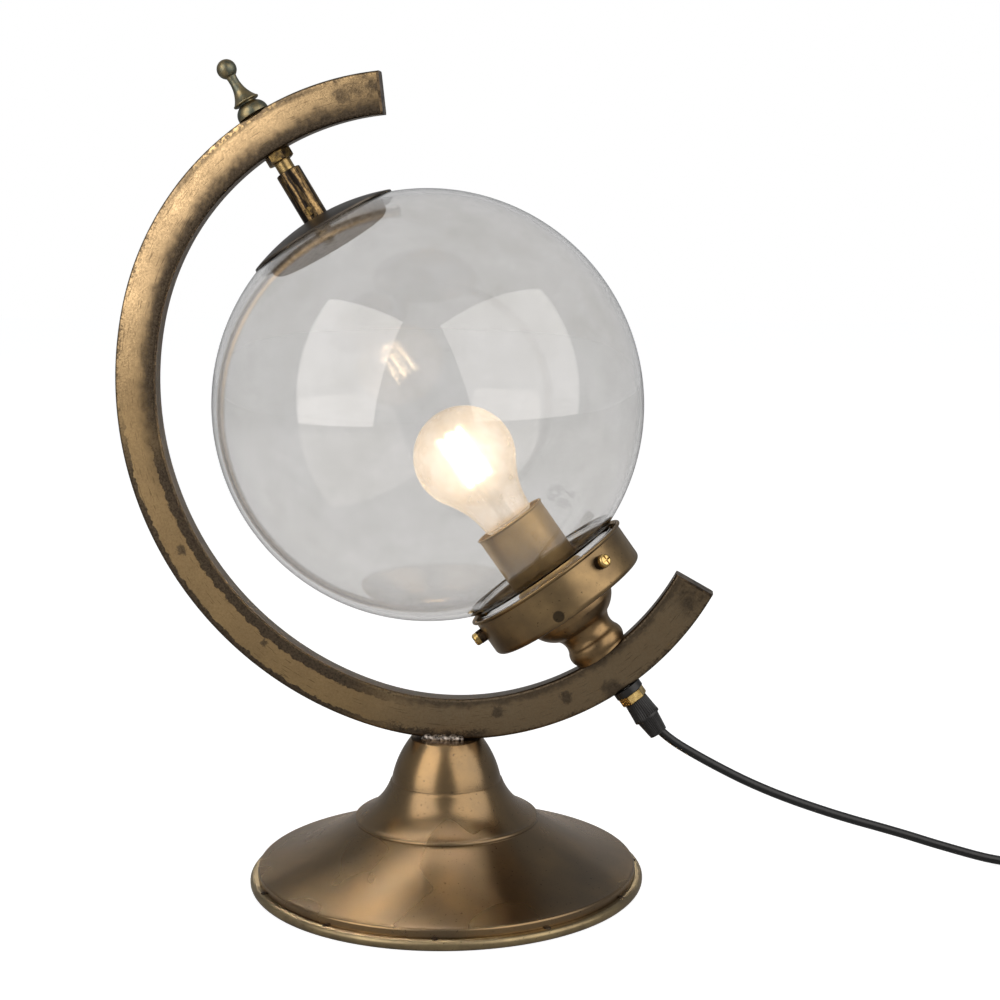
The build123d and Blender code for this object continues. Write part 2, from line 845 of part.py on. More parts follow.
# Cable outlet under the bow
with BuildPart() as outlet_washer:
    with BuildSketch(lower_section):
        band(rod_hole, washer_radius, washer_start, outlet_nut_start)
    revolve(axis=lower_axis)
finish(outlet_washer, "outlet_washer")

with BuildPart() as outlet_nut:
    with BuildSketch(lower_plane.offset(outlet_nut_start)):
        RegularPolygon(outlet_nut_width / 2, 6, major_radius=False, rotation=outlet_nut_turn)
    extrude(amount=outlet_nut_height)
    chamfer(outlet_nut.edges().filter_by(lower_plane), nut_chamfer)
    with Locations(lower_plane.offset(outlet_nut_start)):
        Cylinder(rod_hole, outlet_nut_height, align=on_base, mode=Mode.SUBTRACT)
finish(outlet_nut, "outlet_nut")

grip_mid = grip_start + grip_mid_length
with BuildPart() as cord_grip_sleeve:
    with BuildSketch(lower_section):
        with BuildLine():
            Polyline(
                (0, grip_start),
                (grip_root_radius, grip_start),
                (grip_mid_radius, grip_mid),
                (grip_mid_radius - grip_step, grip_mid),
                (grip_end_radius, grip_end),
                (0, grip_end),
                close=True,
            )
        make_face()
        band(0, rod_hole, grip_start, grip_start + rod_tail, mode=Mode.SUBTRACT)
        band(0, rod_bore_radius, grip_start + rod_tail, grip_end, mode=Mode.SUBTRACT)
    revolve(axis=lower_axis)
    with Locations(lower_plane.offset(grip_start + grip_mid_length / 2)):
        with PolarLocations(grip_mid_radius, grip_rib_count):
            Box(
                2 * grip_groove_depth,
                grip_groove_width,
                grip_mid_length - 2 * grip_margin,
                mode=Mode.SUBTRACT,
            )
finish(cord_grip_sleeve, "cord_grip")

# Cord: its free stretches follow points chosen by hand
cord_radius = cord_diameter / 2
cord_start = grip_end - cord_grip


def bend_radii(points):
    """One radius for each corner, as large as the shorter of its two runs allows."""
    radii = []
    for before, corner, after in zip(points, points[1:], points[2:]):
        arriving = corner - before
        leaving = after - corner
        half_turn = math.radians(arriving.get_angle(leaving)) / 2
        shorter = min(arriving.length, leaving.length)
        radii.append(bend_share * shorter / math.tan(half_turn))
    return radii


def lay_cord(name, points):
    """Round tube along straight runs that tangent arcs join; returns its length."""
    radii = bend_radii(points)
    with BuildPart() as stretch:
        with BuildLine() as route:
            FilletPolyline(*points, radius=radii)
        path = route.wire()
        with BuildSketch(Plane(origin=path @ 0, z_dir=path % 0)):
            Circle(cord_radius)
        sweep(path=path)
    finish(stretch, name)
    section = math.pi * cord_radius**2
    print(name, "length", round(path.length, 1))
    print(name, "radii", [round(radius, 1) for radius in radii])
    print(name, "volume over section by length", stretch.part.volume / section / path.length)
    return path.length


lead_points = [
    globe_centre + lower_direction * cord_start,
    globe_centre + lower_direction * grip_end,
    *(Vector(*point) for point in cord_route),
]
with BuildPart(lower_plane.offset(cavity_floor)) as inner_lead:
    Cylinder(cord_radius, cord_start - cavity_floor, align=on_base)
finish(inner_lead, "inner_lead")
cord_length = lay_cord("cord_lead", lead_points)

# Inline switch: it lies along Y where the cord's route ends
switch_origin = Vector(lead_points[-1].X, lead_points[-1].Y - switch_length / 2, 0)
switch_plane = Plane(origin=switch_origin)
switch_split = switch_plane.offset(switch_half_height)
switch_top = 2 * switch_half_height
pivot_height = switch_top - rocker_pivot_drop
window_width = rocker_width + 2 * moulding_gap
window_length = 2 * (rocker_radius + moulding_gap)
screw_spread = switch_length - 2 * switch_screw_inset
with BuildPart() as switch_lower:
    with BuildSketch(switch_plane):
        RectangleRounded(switch_width, switch_length, switch_round)
    extrude(amount=switch_half_height)
    fillet(switch_lower.edges().group_by(Axis.Z)[0], switch_edge)
    with BuildSketch(switch_split):
        RectangleRounded(
            switch_width - 2 * switch_wall,
            switch_length - 2 * switch_wall,
            switch_round - switch_wall,
        )
    extrude(amount=switch_wall - switch_half_height, mode=Mode.SUBTRACT)
    with Locations(switch_plane.offset(switch_wall)):
        with GridLocations(0, screw_spread, 1, 2):
            Cylinder(switch_post_radius, switch_half_height - switch_wall, align=on_base)
    with Locations(switch_plane):
        with GridLocations(0, screw_spread, 1, 2):
            Cylinder(
                switch_screw_radius + thread_gap,
                switch_half_height,
                align=on_base,
                mode=Mode.SUBTRACT,
            )
            Cylinder(
                switch_screw_head, switch_screw_depth, align=on_base, mode=Mode.SUBTRACT
            )
finish(switch_lower, "switch_lower")

with BuildPart() as switch_upper:
    with BuildSketch(switch_split):
        RectangleRounded(switch_width, switch_length, switch_round)
    extrude(amount=switch_half_height)
    fillet(switch_upper.edges().group_by(Axis.Z)[-1], switch_edge)
    with BuildSketch(switch_split):
        RectangleRounded(
            switch_width - 2 * switch_wall,
            switch_length - 2 * switch_wall,
            switch_round - switch_wall,
        )
    extrude(amount=switch_half_height - switch_wall, mode=Mode.SUBTRACT)
    with Locations(switch_split):
        with GridLocations(0, screw_spread, 1, 2):
            Cylinder(switch_post_radius, switch_half_height - switch_wall, align=on_base)
            Cylinder(
                switch_screw_radius + thread_gap,
                switch_half_height / 2,
                align=on_base,
                mode=Mode.SUBTRACT,
            )
    with Locations(switch_plane.offset(pivot_height - lug_drop)):
        with GridLocations(window_width + lug_width, 0, 2, 1):
            Box(
                lug_width,
                lug_length,
                switch_top - switch_wall - pivot_height + lug_drop,
                align=on_base,
            )
    with Locations(switch_plane.offset(switch_top)):
        Box(window_width, window_length, 2 * switch_wall, mode=Mode.SUBTRACT)
    with Locations(Plane(origin=switch_origin + Vector(0, 0, pivot_height), z_dir=(1, 0, 0))):
        Cylinder(
            rocker_pin_radius + thread_gap,
            window_width + 2 * lug_width,
            mode=Mode.SUBTRACT,
        )
finish(switch_upper, "switch_upper")

# The rocker rests with one end pressed down
rocker_tilt = math.radians(rocker_slope)
rocker_plane = Plane(
    origin=switch_origin + Vector(0, 0, pivot_height),
    x_dir=(0, math.cos(rocker_tilt), math.sin(rocker_tilt)),
    z_dir=(1, 0, 0),
)
rocker_edge = rocker_trough + rocker_radius * math.tan(rocker_tilt)
with BuildPart() as switch_rocker:
    with BuildSketch(rocker_plane):
        Circle(rocker_radius)
        Polygon(
            (0, rocker_trough),
            (-rocker_radius, rocker_edge),
            (-rocker_radius, -rocker_skirt),
            (rocker_radius, -rocker_skirt),
            (rocker_radius, rocker_edge),
            align=None,
            mode=Mode.INTERSECT,
        )
    extrude(amount=rocker_width / 2, both=True)
    with Locations(rocker_plane):
        Cylinder(rocker_pin_radius, rocker_width + 2 * rocker_pin_length)
finish(switch_rocker, "switch_rocker")

with BuildPart(switch_plane.offset(switch_wall)) as switch_terminals:
    with GridLocations(0, terminal_spread, 1, 2):
        Box(terminal_width, terminal_length, terminal_height, align=on_base)
finish(switch_terminals, "switch_terminals")

with BuildPart(switch_plane) as switch_screws:
    with GridLocations(0, screw_spread, 1, 2):
        Cylinder(switch_screw_radius, switch_screw_length, align=on_base)
        Cylinder(switch_screw_head, switch_screw_depth, align=on_base)
finish(switch_screws, "switch_screws")

# Link from the switch down to the coil
link_start = Vector(lead_points[-1].X, lead_points[-1].Y - switch_length, switch_half_height)
link_points = [
    link_start,
    link_start - Vector(0, link_run, 0),
    Vector(link_start.X, link_start.Y - link_run - link_fall_run, coil_lift),
    Vector(link_start.X, link_start.Y - link_run - link_fall_run - link_lead, coil_lift),
]
cord_length += lay_cord("cord_link", link_points)

# Coil: in and out again in four layers, climbing a layer in each half turn where it turns back
coil_entry = link_points[-1] - Vector(0, cord_diameter, 0)
coil_centre = Vector(coil_entry.X + coil_start_radius, coil_entry.Y, 0)


def coil_radius(turn):
    """Distance of the cord from the coil's middle after so many turns."""
    radius = coil_start_radius
    pitch = -coil_pitch
    last = 0
    for stop in (*coil_reversals, coil_turns):
        radius += pitch * max(0, min(turn, stop) - last)
        pitch = -pitch
        last = stop
    return radius


def coil_height(turn):
    """Height of the cord after so many turns: a layer more past each reversal."""
    climbs = [(turn - stop) / coil_climb + 0.5 for stop in coil_reversals]
    return coil_lift + coil_pitch * sum(min(max(climb, 0), 1) for climb in climbs)


def coil_point(turn):
    angle = math.pi * (1 + 2 * turn)
    radius = coil_radius(turn)
    return coil_centre + Vector(
        radius * math.cos(angle), radius * math.sin(angle), coil_height(turn)
    )


def coil_heading(turn):
    """Direction of the cord, from the points half a step before and after."""
    step = coil_step / 4
    return (coil_point(turn + step) - coil_point(turn - step)).normalized()


coil_count = round(coil_turns / coil_step)
coil_nodes = [coil_point(index * coil_step) for index in range(coil_count + 1)]
coil_headings = [
    Vector(0, -1, 0),
    *(coil_heading(index * coil_step) for index in range(1, coil_count)),
    Vector(0, 1, 0),
]
coil_exit = coil_nodes[-1] + Vector(0, cord_diameter, 0)
with BuildPart() as cord_coil:
    with BuildLine() as coil_path:
        Line(link_points[-1], coil_entry)
        for index in range(coil_count):
            start = coil_nodes[index]
            end = coil_nodes[index + 1]
            start_heading = coil_headings[index]
            end_heading = coil_headings[index + 1]
            chord = end - start
            both = start_heading + end_heading
            spread = 2 * (1 - start_heading.dot(end_heading))
            along = chord.dot(both)
            handle = (math.sqrt(along**2 + spread * chord.dot(chord)) - along) / spread
            middle = (start + end + (start_heading - end_heading) * handle) / 2
            first = TangentArc(start, middle, tangent=start_heading)
            TangentArc(middle, end, tangent=first % 1)
        Line(coil_nodes[-1], coil_exit)
    coil_wire = coil_path.wire()
    with BuildSketch(Plane(origin=coil_wire @ 0, z_dir=coil_wire % 0)):
        Circle(cord_radius)
    sweep(path=coil_wire)
finish(cord_coil, "cord_coil")
coil_section = math.pi * cord_radius**2
coil_share = cord_coil.part.volume / coil_section / coil_wire.length
print("coil length", round(coil_wire.length, 1))
print("coil volume over section by length", coil_share)
cord_length += coil_wire.length

coil_samples = round(coil_wire.length / coil_gap_sample)
coil_line = [coil_wire @ (index / coil_samples) for index in range(coil_samples + 1)]
half_turn_samples = round(math.pi * coil_start_radius / 2 / coil_gap_sample)
coil_gap = min(
    (coil_line[one] - coil_line[two]).length
    for one in range(coil_samples + 1)
    for two in range(one + half_turn_samples, coil_samples + 1)
)
print("coil's least gap to itself", round(coil_gap - cord_diameter, 2))

# Tie: a band round the whole bundle
tie_radial = Vector(math.cos(math.radians(tie_angle)), math.sin(math.radians(tie_angle)), 0)
coil_inner = min(coil_radius(index * coil_step) for index in range(coil_count + 1))
coil_outer = max(coil_radius(index * coil_step) for index in range(coil_count + 1))
tie_inside = coil_inner - cord_radius - tie_gap
tie_outside = coil_outer + cord_radius + tie_gap
tie_floor = coil_lift - cord_radius - tie_gap / 3
tie_ceiling = coil_height(coil_turns) + cord_radius + tie_gap
with BuildPart() as cord_tie:
    with BuildSketch(
        Plane(origin=coil_centre, x_dir=tie_radial, z_dir=tie_radial.cross(Vector(0, 0, 1)))
    ):
        band(
            tie_inside - tie_thickness,
            tie_outside + tie_thickness,
            tie_floor - tie_thickness,
            tie_ceiling + tie_thickness,
        )
        band(tie_inside, tie_outside, tie_floor, tie_ceiling, mode=Mode.SUBTRACT)
    extrude(amount=tie_width / 2, both=True)
finish(cord_tie, "cord_tie")

tail_points = [coil_exit, *(Vector(*point) for point in tail_route)]
cord_length += lay_cord("cord_tail", tail_points)
print("cord from the grip to the plug", round(cord_length, 1))

# Plug: it lies flat, its two pins pointing on along Y
plug_origin = Vector(tail_points[-1].X, tail_points[-1].Y, 0)
plug_face = Plane(
    origin=plug_origin + Vector(0, plug_length, plug_height / 2), z_dir=(0, 1, 0), x_dir=(1, 0, 0)
)
with BuildPart() as plug_body:
    with BuildSketch(Plane(origin=plug_origin)):
        with BuildLine():
            Polyline(
                (plug_taper - plug_width / 2, 0),
                (plug_width / 2 - plug_taper, 0),
                (plug_width / 2, plug_length / 2),
                (plug_width / 2, plug_length),
                (-plug_width / 2, plug_length),
                (-plug_width / 2, plug_length / 2),
                close=True,
            )
        make_face()
    extrude(amount=plug_height)
    fillet(plug_body.edges().filter_by(Axis.Z), plug_round / 2)
    fillet(plug_body.edges().group_by(Axis.Z)[-1], plug_round / 2)
    fillet(plug_body.edges().group_by(Axis.Z)[0], plug_round / 2)
    with Locations(plug_face.offset(-pin_root)):
        with GridLocations(pin_spread, 0, 2, 1):
            Cylinder(pin_radius, pin_root, align=on_base, mode=Mode.SUBTRACT)
finish(plug_body, "plug_body")

with BuildPart(plug_face.offset(-pin_root)) as plug_pins:
    with GridLocations(pin_spread, 0, 2, 1):
        Cylinder(pin_radius, pin_root + pin_length, align=on_base)
finish(plug_pins, "plug_pins")
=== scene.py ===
# %% [markdown]
# # A globe table lamp
# The lamp is a blown glass globe that hangs between two ends of a bow of flat brass tube, and
# the bow stands on a spun trumpet base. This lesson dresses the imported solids: what only needs
# a finish keeps its solid, and what the eye rests on is turned again with finer outlines.

# %% Load the frame
import math
import bmesh
import bpy
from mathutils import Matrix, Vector


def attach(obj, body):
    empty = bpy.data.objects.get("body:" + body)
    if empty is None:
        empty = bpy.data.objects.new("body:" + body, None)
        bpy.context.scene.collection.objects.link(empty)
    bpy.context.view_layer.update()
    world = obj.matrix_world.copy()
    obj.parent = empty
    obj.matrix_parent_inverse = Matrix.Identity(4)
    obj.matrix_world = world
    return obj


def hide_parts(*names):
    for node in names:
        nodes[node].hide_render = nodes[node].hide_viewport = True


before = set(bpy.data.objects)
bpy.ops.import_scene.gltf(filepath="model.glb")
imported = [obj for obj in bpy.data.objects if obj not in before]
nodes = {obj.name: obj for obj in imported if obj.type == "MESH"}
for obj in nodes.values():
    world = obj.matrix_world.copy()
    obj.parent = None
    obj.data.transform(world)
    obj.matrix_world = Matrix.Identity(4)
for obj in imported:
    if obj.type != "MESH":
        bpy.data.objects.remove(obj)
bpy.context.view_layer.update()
MM = 0.001
print("solids loaded:", len(nodes))

# %% [markdown]
# ## The camera
# The picture was taken from about a metre away, a little above the bulb and a little to the
# right. The camera comes first, because it decides which side of every piece is seen and
# where the spare cord may lie without showing.

# %% Camera
camera_place = Vector((136.1, -1078.3, 396.1)) * MM
camera_yaw = -0.096
camera_pitch = -0.151
camera_data = bpy.data.cameras.new("camera")
camera_data.sensor_width = 36.0
camera_data.lens = 67.55
camera_data.clip_start = 0.05
camera_data.clip_end = 50.0
camera = bpy.data.objects.new("camera", camera_data)
bpy.context.scene.collection.objects.link(camera)
looking = Vector(
    (
        math.sin(camera_yaw) * math.cos(camera_pitch),
        math.cos(camera_yaw) * math.cos(camera_pitch),
        math.sin(camera_pitch),
    )
)
camera.location = camera_place
camera.rotation_mode = "QUATERNION"
camera.rotation_quaternion = looking.to_track_quat("-Z", "Y")
bpy.context.scene.camera = camera
print("camera looks along", [round(part, 3) for part in looking])

# %% [markdown]
# ## The two axes
# Nearly everything on this lamp is turned about one of two tilted axes through the globe's
# middle: the upper one carries the cap and the finial, the lower one the gallery, the bulb
# and the cable outlet. Both lie in the bow's plane, so +Y stands square to both of them.

# %% Axes and helpers for new meshes
globe_middle = Vector((-9.4, 0, 286.06)) * MM
upper_tilt = math.radians(31.0)
lower_tilt = math.radians(35.2)
upper_axis = Vector((-math.sin(upper_tilt), 0, math.cos(upper_tilt)))
lower_axis = Vector((math.sin(lower_tilt), 0, -math.cos(lower_tilt)))
standing_axis = Vector((0, 0, 1))
base_middle = Vector((0, 0, 0))
sideways = Vector((0, 1, 0))
# a spindle is what a piece is turned about: a point and a direction
standing = (base_middle, standing_axis)
upper = (globe_middle, upper_axis)
lower = (globe_middle, lower_axis)
merge_distance = 0.00001
sliver_length = 0.000001


def keep(name, bm, body, finish, crease=32):
    """Turns a bmesh into a finished object that rides on a body, smooth but for its creases."""
    mesh = bpy.data.meshes.new(name)
    bm.to_mesh(mesh)
    bm.free()
    mesh.polygons.foreach_set("use_smooth", [True] * len(mesh.polygons))
    mesh.set_sharp_from_angle(angle=math.radians(crease))
    mesh.materials.append(finish)
    piece = bpy.data.objects.new(name, mesh)
    bpy.context.scene.collection.objects.link(piece)
    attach(piece, body)
    return piece


def arc(start, end, bulge, count=10):
    """Points after the start on an arc whose middle stands off the chord, left if positive."""
    run = Vector(end) - Vector(start)
    chord = run.length
    radius = (chord * chord / 4 + bulge * bulge) / (2 * abs(bulge))
    left = Vector((-run.y, run.x)) / chord
    side = 1 if bulge > 0 else -1
    middle = (Vector(start) + Vector(end)) / 2 + left * (bulge - side * radius)
    from_middle = Vector(start) - middle
    half = math.asin(min(1, chord / 2 / radius))
    if abs(bulge) > radius:
        half = math.pi - half
    step = -side * 2 * half / count
    points = []
    for index in range(1, count + 1):
        turn = step * index
        points.append(
            (
                middle.x + from_middle.x * math.cos(turn) - from_middle.y * math.sin(turn),
                middle.y + from_middle.x * math.sin(turn) + from_middle.y * math.cos(turn),
            )
        )
    return points


def spun(outline, spindle, closed=True, steps=144):
    """Spins an outline of (radius, distance along the axis), in millimetres, a full turn."""
    middle, axis = spindle
    bm = bmesh.new()
    ring = [
        bm.verts.new(middle + sideways * radius * MM + axis * along * MM)
        for radius, along in outline
    ]
    pairs = list(zip(ring, ring[1:]))
    if closed:
        pairs.append((ring[-1], ring[0]))
    edges = [bm.edges.new(pair) for pair in pairs]
    bmesh.ops.spin(
        bm,
        geom=ring + edges,
        cent=middle,
        axis=axis,
        angle=2 * math.pi,
        steps=steps,
        use_merge=True,
    )
    bmesh.ops.remove_doubles(bm, verts=bm.verts, dist=merge_distance)
    bmesh.ops.dissolve_degenerate(bm, dist=sliver_length, edges=bm.edges)
    bmesh.ops.recalc_face_normals(bm, faces=bm.faces)
    return bm


def soften(piece, width, angle=30, segments=2):
    """Rounds a piece's creases by a small width in millimetres, as a worn edge is."""
    rounding = piece.modifiers.new("worn_edge", "BEVEL")
    rounding.width = width * MM
    rounding.segments = segments
    rounding.limit_method = "ANGLE"
    rounding.angle_limit = math.radians(angle)
    rounding.harden_normals = True
    return piece


print("upper axis", upper_axis, "lower axis", lower_axis)

# %% [markdown]
# ## Colours and nodes
# Colours are written as the hex values that a picture would show and turned to linear light
# once. One helper adds a node with its settings and feeds its inputs, so each finish below
# reads as a short recipe.

# %% Helpers for finishes


def colour(hex_value):
    """Linear colour with alpha 1 of an sRGB hex value."""
    channels = [int(hex_value[place : place + 2], 16) / 255 for place in (1, 3, 5)]
    linear = [c / 12.92 if c <= 0.04045 else ((c + 0.055) / 1.055) ** 2.4 for c in channels]
    return (*linear, 1.0)


def add(tree, kind, inputs=None, **settings):
    """Adds a node, sets its properties and feeds its inputs with values or with sockets."""
    new = tree.nodes.new(kind)
    for key, value in settings.items():
        setattr(new, key, value)
    for key, value in (inputs or {}).items():
        if isinstance(value, bpy.types.NodeSocket):
            tree.links.new(value, new.inputs[key])
        else:
            new.inputs[key].default_value = value
    return new


def new_finish(name, **constants):
    """A material with its shader; constants are set on the shader's own sockets."""
    finish = bpy.data.materials.new(name)
    finish.use_nodes = True
    shader = finish.node_tree.nodes["Principled BSDF"]
    for key, value in constants.items():
        shader.inputs[key.replace("_", " ")].default_value = value
    return finish, finish.node_tree, shader


def object_place(tree):
    """Where on its piece the shaded point lies, in metres."""
    return add(tree, "ShaderNodeTexCoord").outputs["Object"]


def turned_place(tree, spindle):
    """Object coordinates moved so that the spindle's axis is Z and its point is zero."""
    middle, axis = spindle
    place = object_place(tree)
    turn = axis.rotation_difference(standing_axis)
    return add(
        tree,
        "ShaderNodeMapping",
        {"Vector": place, "Location": turn @ -middle, "Rotation": turn.to_euler()},
    ).outputs["Vector"]


def blotches(tree, place, size, low, high, detail=4.0, rough=0.6):
    """Mask of patches of about a size in millimetres, 0 below low and 1 above high."""
    noise = add(
        tree,
        "ShaderNodeTexNoise",
        {"Vector": place, "Scale": 1 / (size * MM), "Detail": detail, "Roughness": rough},
    )
    return add(
        tree,
        "ShaderNodeMapRange",
        {"Value": noise.outputs[0], "From Min": low, "From Max": high},
    ).outputs["Result"]


def mixed(tree, mask, first, second):
    """Colour that goes from first to second as the mask goes from 0 to 1."""
    sockets = {"Factor": mask, 6: first, 7: second}
    return add(tree, "ShaderNodeMix", sockets, data_type="RGBA").outputs[2]


def ranged(tree, mask, first, second):
    """Number that goes from first to second as the mask goes from 0 to 1."""
    return add(
        tree, "ShaderNodeMapRange", {"Value": mask, "To Min": first, "To Max": second}
    ).outputs["Result"]


def math_node(tree, operation, first, second=0.0):
    return add(tree, "ShaderNodeMath", {0: first, 1: second}, operation=operation).outputs[0]


def product(tree, *masks):
    """The masks multiplied: 1 only where all of them are."""
    result = masks[0]
    for mask in masks[1:]:
        result = math_node(tree, "MULTIPLY", result, mask)
    return result


def strongest(tree, *masks):
    """The highest of the masks at each place."""
    result = masks[0]
    for mask in masks[1:]:
        result = math_node(tree, "MAXIMUM", result, mask)
    return result


def ramp(tree, value, start, end):
    """0 at the start, 1 at the end, both in millimetres; the two may run downwards."""
    return add(
        tree,
        "ShaderNodeMapRange",
        {"Value": value, "From Min": start * MM, "From Max": end * MM},
        interpolation_type="SMOOTHSTEP",
    ).outputs["Result"]


def stain(tree, place, middle, radius, outer, inner, fray=0.0):
    """1 inside a round mark, 0 outside; its rim fades between two parts of its radius."""
    reach = add(
        tree, "ShaderNodeVectorMath", {0: place, 1: middle}, operation="DISTANCE"
    ).outputs["Value"]
    reach = math_node(tree, "ADD", reach, fray)
    return ramp(tree, reach, outer * radius, inner * radius)


def emboss(tree, shader, height, strength, distance):
    """Lets the surface rise by up to a distance in millimetres where the height is 1."""
    bump = add(
        tree,
        "ShaderNodeBump",
        {"Height": height, "Strength": strength, "Distance": distance * MM},
    )
    tree.links.new(bump.outputs["Normal"], shader.inputs["Normal"])


print("a brass of #B89058 is", [round(part, 3) for part in colour("#B89058")])

# %% [markdown]
# ## The cord
# A round black lead, 5.4 mm thick and 1.8 m long. It leaves the ribbed grip along the lower
# axis, sinks to the table and runs out of the picture at the right. What the picture does not
# show is wound up just past its edge: an inline switch, a coil of six and a half turns with
# its tie, and the plug. One smooth spline goes all the way, through the switch.

# %% Cord
cord_thickness = 0.0054
mouth_distance = 0.235103
held_length = 0.016
grip_mouth = globe_middle + lower_axis * mouth_distance
cord_begin = grip_mouth - lower_axis * held_length
hanging_points = [
    (0.1536, 0.002, 0.0771),
    (0.1879, 0.009, 0.0583),
    (0.2298, 0.021, 0.0405),
    (0.2724, 0.034, 0.0257),
    (0.2954, 0.041, 0.0167),
    (0.3357, 0.052, 0.0029),
    (0.3575, 0.0548, 0.0029),
    (0.3744, 0.0473, 0.0046),
    (0.3845, 0.0318, 0.008),
    (0.3845, 0.0132, 0.008),
]
link_points = [
    (0.3845, -0.0498, 0.008),
    (0.3845, -0.0606, 0.008),
    (0.3845, -0.0746, 0.0039),
    (0.3845, -0.0856, 0.0039),
]
coil_middle = Vector((0.4195, -0.0910, 0))
coil_turns = 6.5
coil_reversals = (1.5, 3.25, 5.0)
coil_first_radius = 0.035
coil_pitch = 0.006
coil_lift = 0.0039
coil_climb_rate = 2
coil_steps = 16
tail_points = [
    (0.4545, -0.0856, 0.0219),
    (0.4545, -0.070, 0.0219),
    (0.4525, -0.044, 0.0135),
    (0.447, -0.016, 0.007),
    (0.447, 0.0, 0.007),
]


def coil_point(turn):
    """Point of the coil after so many turns: in and out again, a layer up at each reversal."""
    radius = coil_first_radius
    pitch = -coil_pitch
    last = 0
    for stop in (*coil_reversals, coil_turns):
        radius += pitch * max(0, min(turn, stop) - last)
        pitch = -pitch
        last = stop
    climbs = [
        min(max((turn - stop) * coil_climb_rate + 0.5, 0), 1) for stop in coil_reversals
    ]
    angle = math.pi * (1 + 2 * turn)
    around = Vector((math.cos(angle), math.sin(angle), 0)) * radius
    return coil_middle + around + Vector((0, 0, coil_lift + coil_pitch * sum(climbs)))


coil_points = [
    coil_point(index / coil_steps) for index in range(round(coil_turns * coil_steps) + 1)
]
cord_points = [
    cord_begin,
    grip_mouth,
    *hanging_points,
    *link_points,
    *coil_points,
    *tail_points,
]
cord_curve = bpy.data.curves.new("cord", "CURVE")
cord_curve.dimensions = "3D"
cord_curve.bevel_depth = 1.0
cord_curve.bevel_resolution = 6
cord_curve.resolution_u = 6
cord_curve.use_fill_caps = True
cord_line = cord_curve.splines.new("NURBS")
cord_line.points.add(len(cord_points) - 1)
for knot, place in zip(cord_line.points, cord_points):
    knot.co = (*place, 1.0)
    knot.radius = cord_thickness / 2
cord_line.order_u = 3
cord_line.use_endpoint_u = True
cord = bpy.data.objects.new("cord", cord_curve)
bpy.context.scene.collection.objects.link(cord)
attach(cord, "lamp")
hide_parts("cord_lead", "cord_link", "cord_coil", "cord_tail")
print("cord control points:", len(cord_points))

# %% [markdown]
# ## Table and light
# The picture's background is plain white. The floor is a pale board that glows a little for
# the rays that the camera sees directly or through glass, so that it comes out white where
# the lamp's soft shadow does not fall. Two large soft boxes and an even sky do the lighting,
# and a small box high up behind the lamp reaches nothing but the bell and its ring.

# %% Floor and sky
floor_size = 6.0
floor_glow = 0.85
sky_strength = 0.3


def seen_rays(tree):
    """1 for the rays that the camera sees directly or through glass, 0 for the others."""
    rays = add(tree, "ShaderNodeLightPath").outputs
    return math_node(tree, "MAXIMUM", rays["Is Camera Ray"], rays["Is Transmission Ray"])


floor_finish, tree, shader = new_finish("pale_board", Roughness=0.9)
shader.inputs["Base Color"].default_value = colour("#B4B4B4")
shader.inputs["Emission Color"].default_value = (1, 1, 1, 1)
glow = product(tree, seen_rays(tree), floor_glow)
tree.links.new(glow, shader.inputs["Emission Strength"])
bm = bmesh.new()
bmesh.ops.create_grid(bm, x_segments=1, y_segments=1, size=floor_size)
floor_mesh = bpy.data.meshes.new("floor")
bm.to_mesh(floor_mesh)
bm.free()
floor_mesh.materials.append(floor_finish)
floor = bpy.data.objects.new("floor", floor_mesh)
bpy.context.scene.collection.objects.link(floor)

world = bpy.data.worlds.new("sky")
bpy.context.scene.world = world
world.use_nodes = True
tree = world.node_tree
tree.nodes.clear()
sky_light = add(
    tree, "ShaderNodeBackground", {"Color": (0.95, 0.97, 1, 1), "Strength": sky_strength}
)
sky_seen = add(tree, "ShaderNodeBackground", {"Color": (1, 1, 1, 1), "Strength": 1.0})
sky = add(
    tree,
    "ShaderNodeMixShader",
    {0: seen_rays(tree), 1: sky_light.outputs[0], 2: sky_seen.outputs[0]},
)
add(tree, "ShaderNodeOutputWorld", {"Surface": sky.outputs[0]})
bpy.context.scene.view_settings.view_transform = "Standard"


def soft_box(name, place, target, width, height, power, spread=180):
    """A rectangular lamp that faces a target; a small spread in degrees is a grid in front."""
    data = bpy.data.lights.new(name, "AREA")
    data.shape = "RECTANGLE"
    data.size = width
    data.size_y = height
    data.energy = power
    data.spread = math.radians(spread)
    data.color = (1, 0.96, 0.92)
    lamp = bpy.data.objects.new(name, data)
    lamp.location = place
    lamp.rotation_mode = "QUATERNION"
    lamp.rotation_quaternion = (Vector(target) - Vector(place)).to_track_quat("-Z", "Y")
    bpy.context.scene.collection.objects.link(lamp)
    return lamp


lamp_middle = (0, 0, 0.3)
base_front = (0, -0.06, 0)
soft_box("box_left", (-1.0, -1.17, 0.95), lamp_middle, width=1.4, height=1.8, power=18)
soft_box("box_right", (1.33, -0.78, 1.05), lamp_middle, width=2.2, height=1.9, power=22)
box_top = soft_box(
    "box_top", (-0.15, 0.6, 1.5), base_front, width=0.3, height=0.3, power=1.1, spread=10
)
top_lit = bpy.data.collections.new("top_lit")
box_top.light_linking.receiver_collection = top_lit

# %% [markdown]
# ## Aged brass
# The bow, the base, the gallery and the pillar are brass that was lacquered, rubbed and left
# to brown: yellow where hands and cloths reach, brown in between, nearly black in the creases.
# One recipe mixes three browns by patches of real sizes, and each piece gets its own browns.

# %% Finish: aged brass
speck_size = 1.6
ring_pitch = 0.9
gloss_spread = 0.07


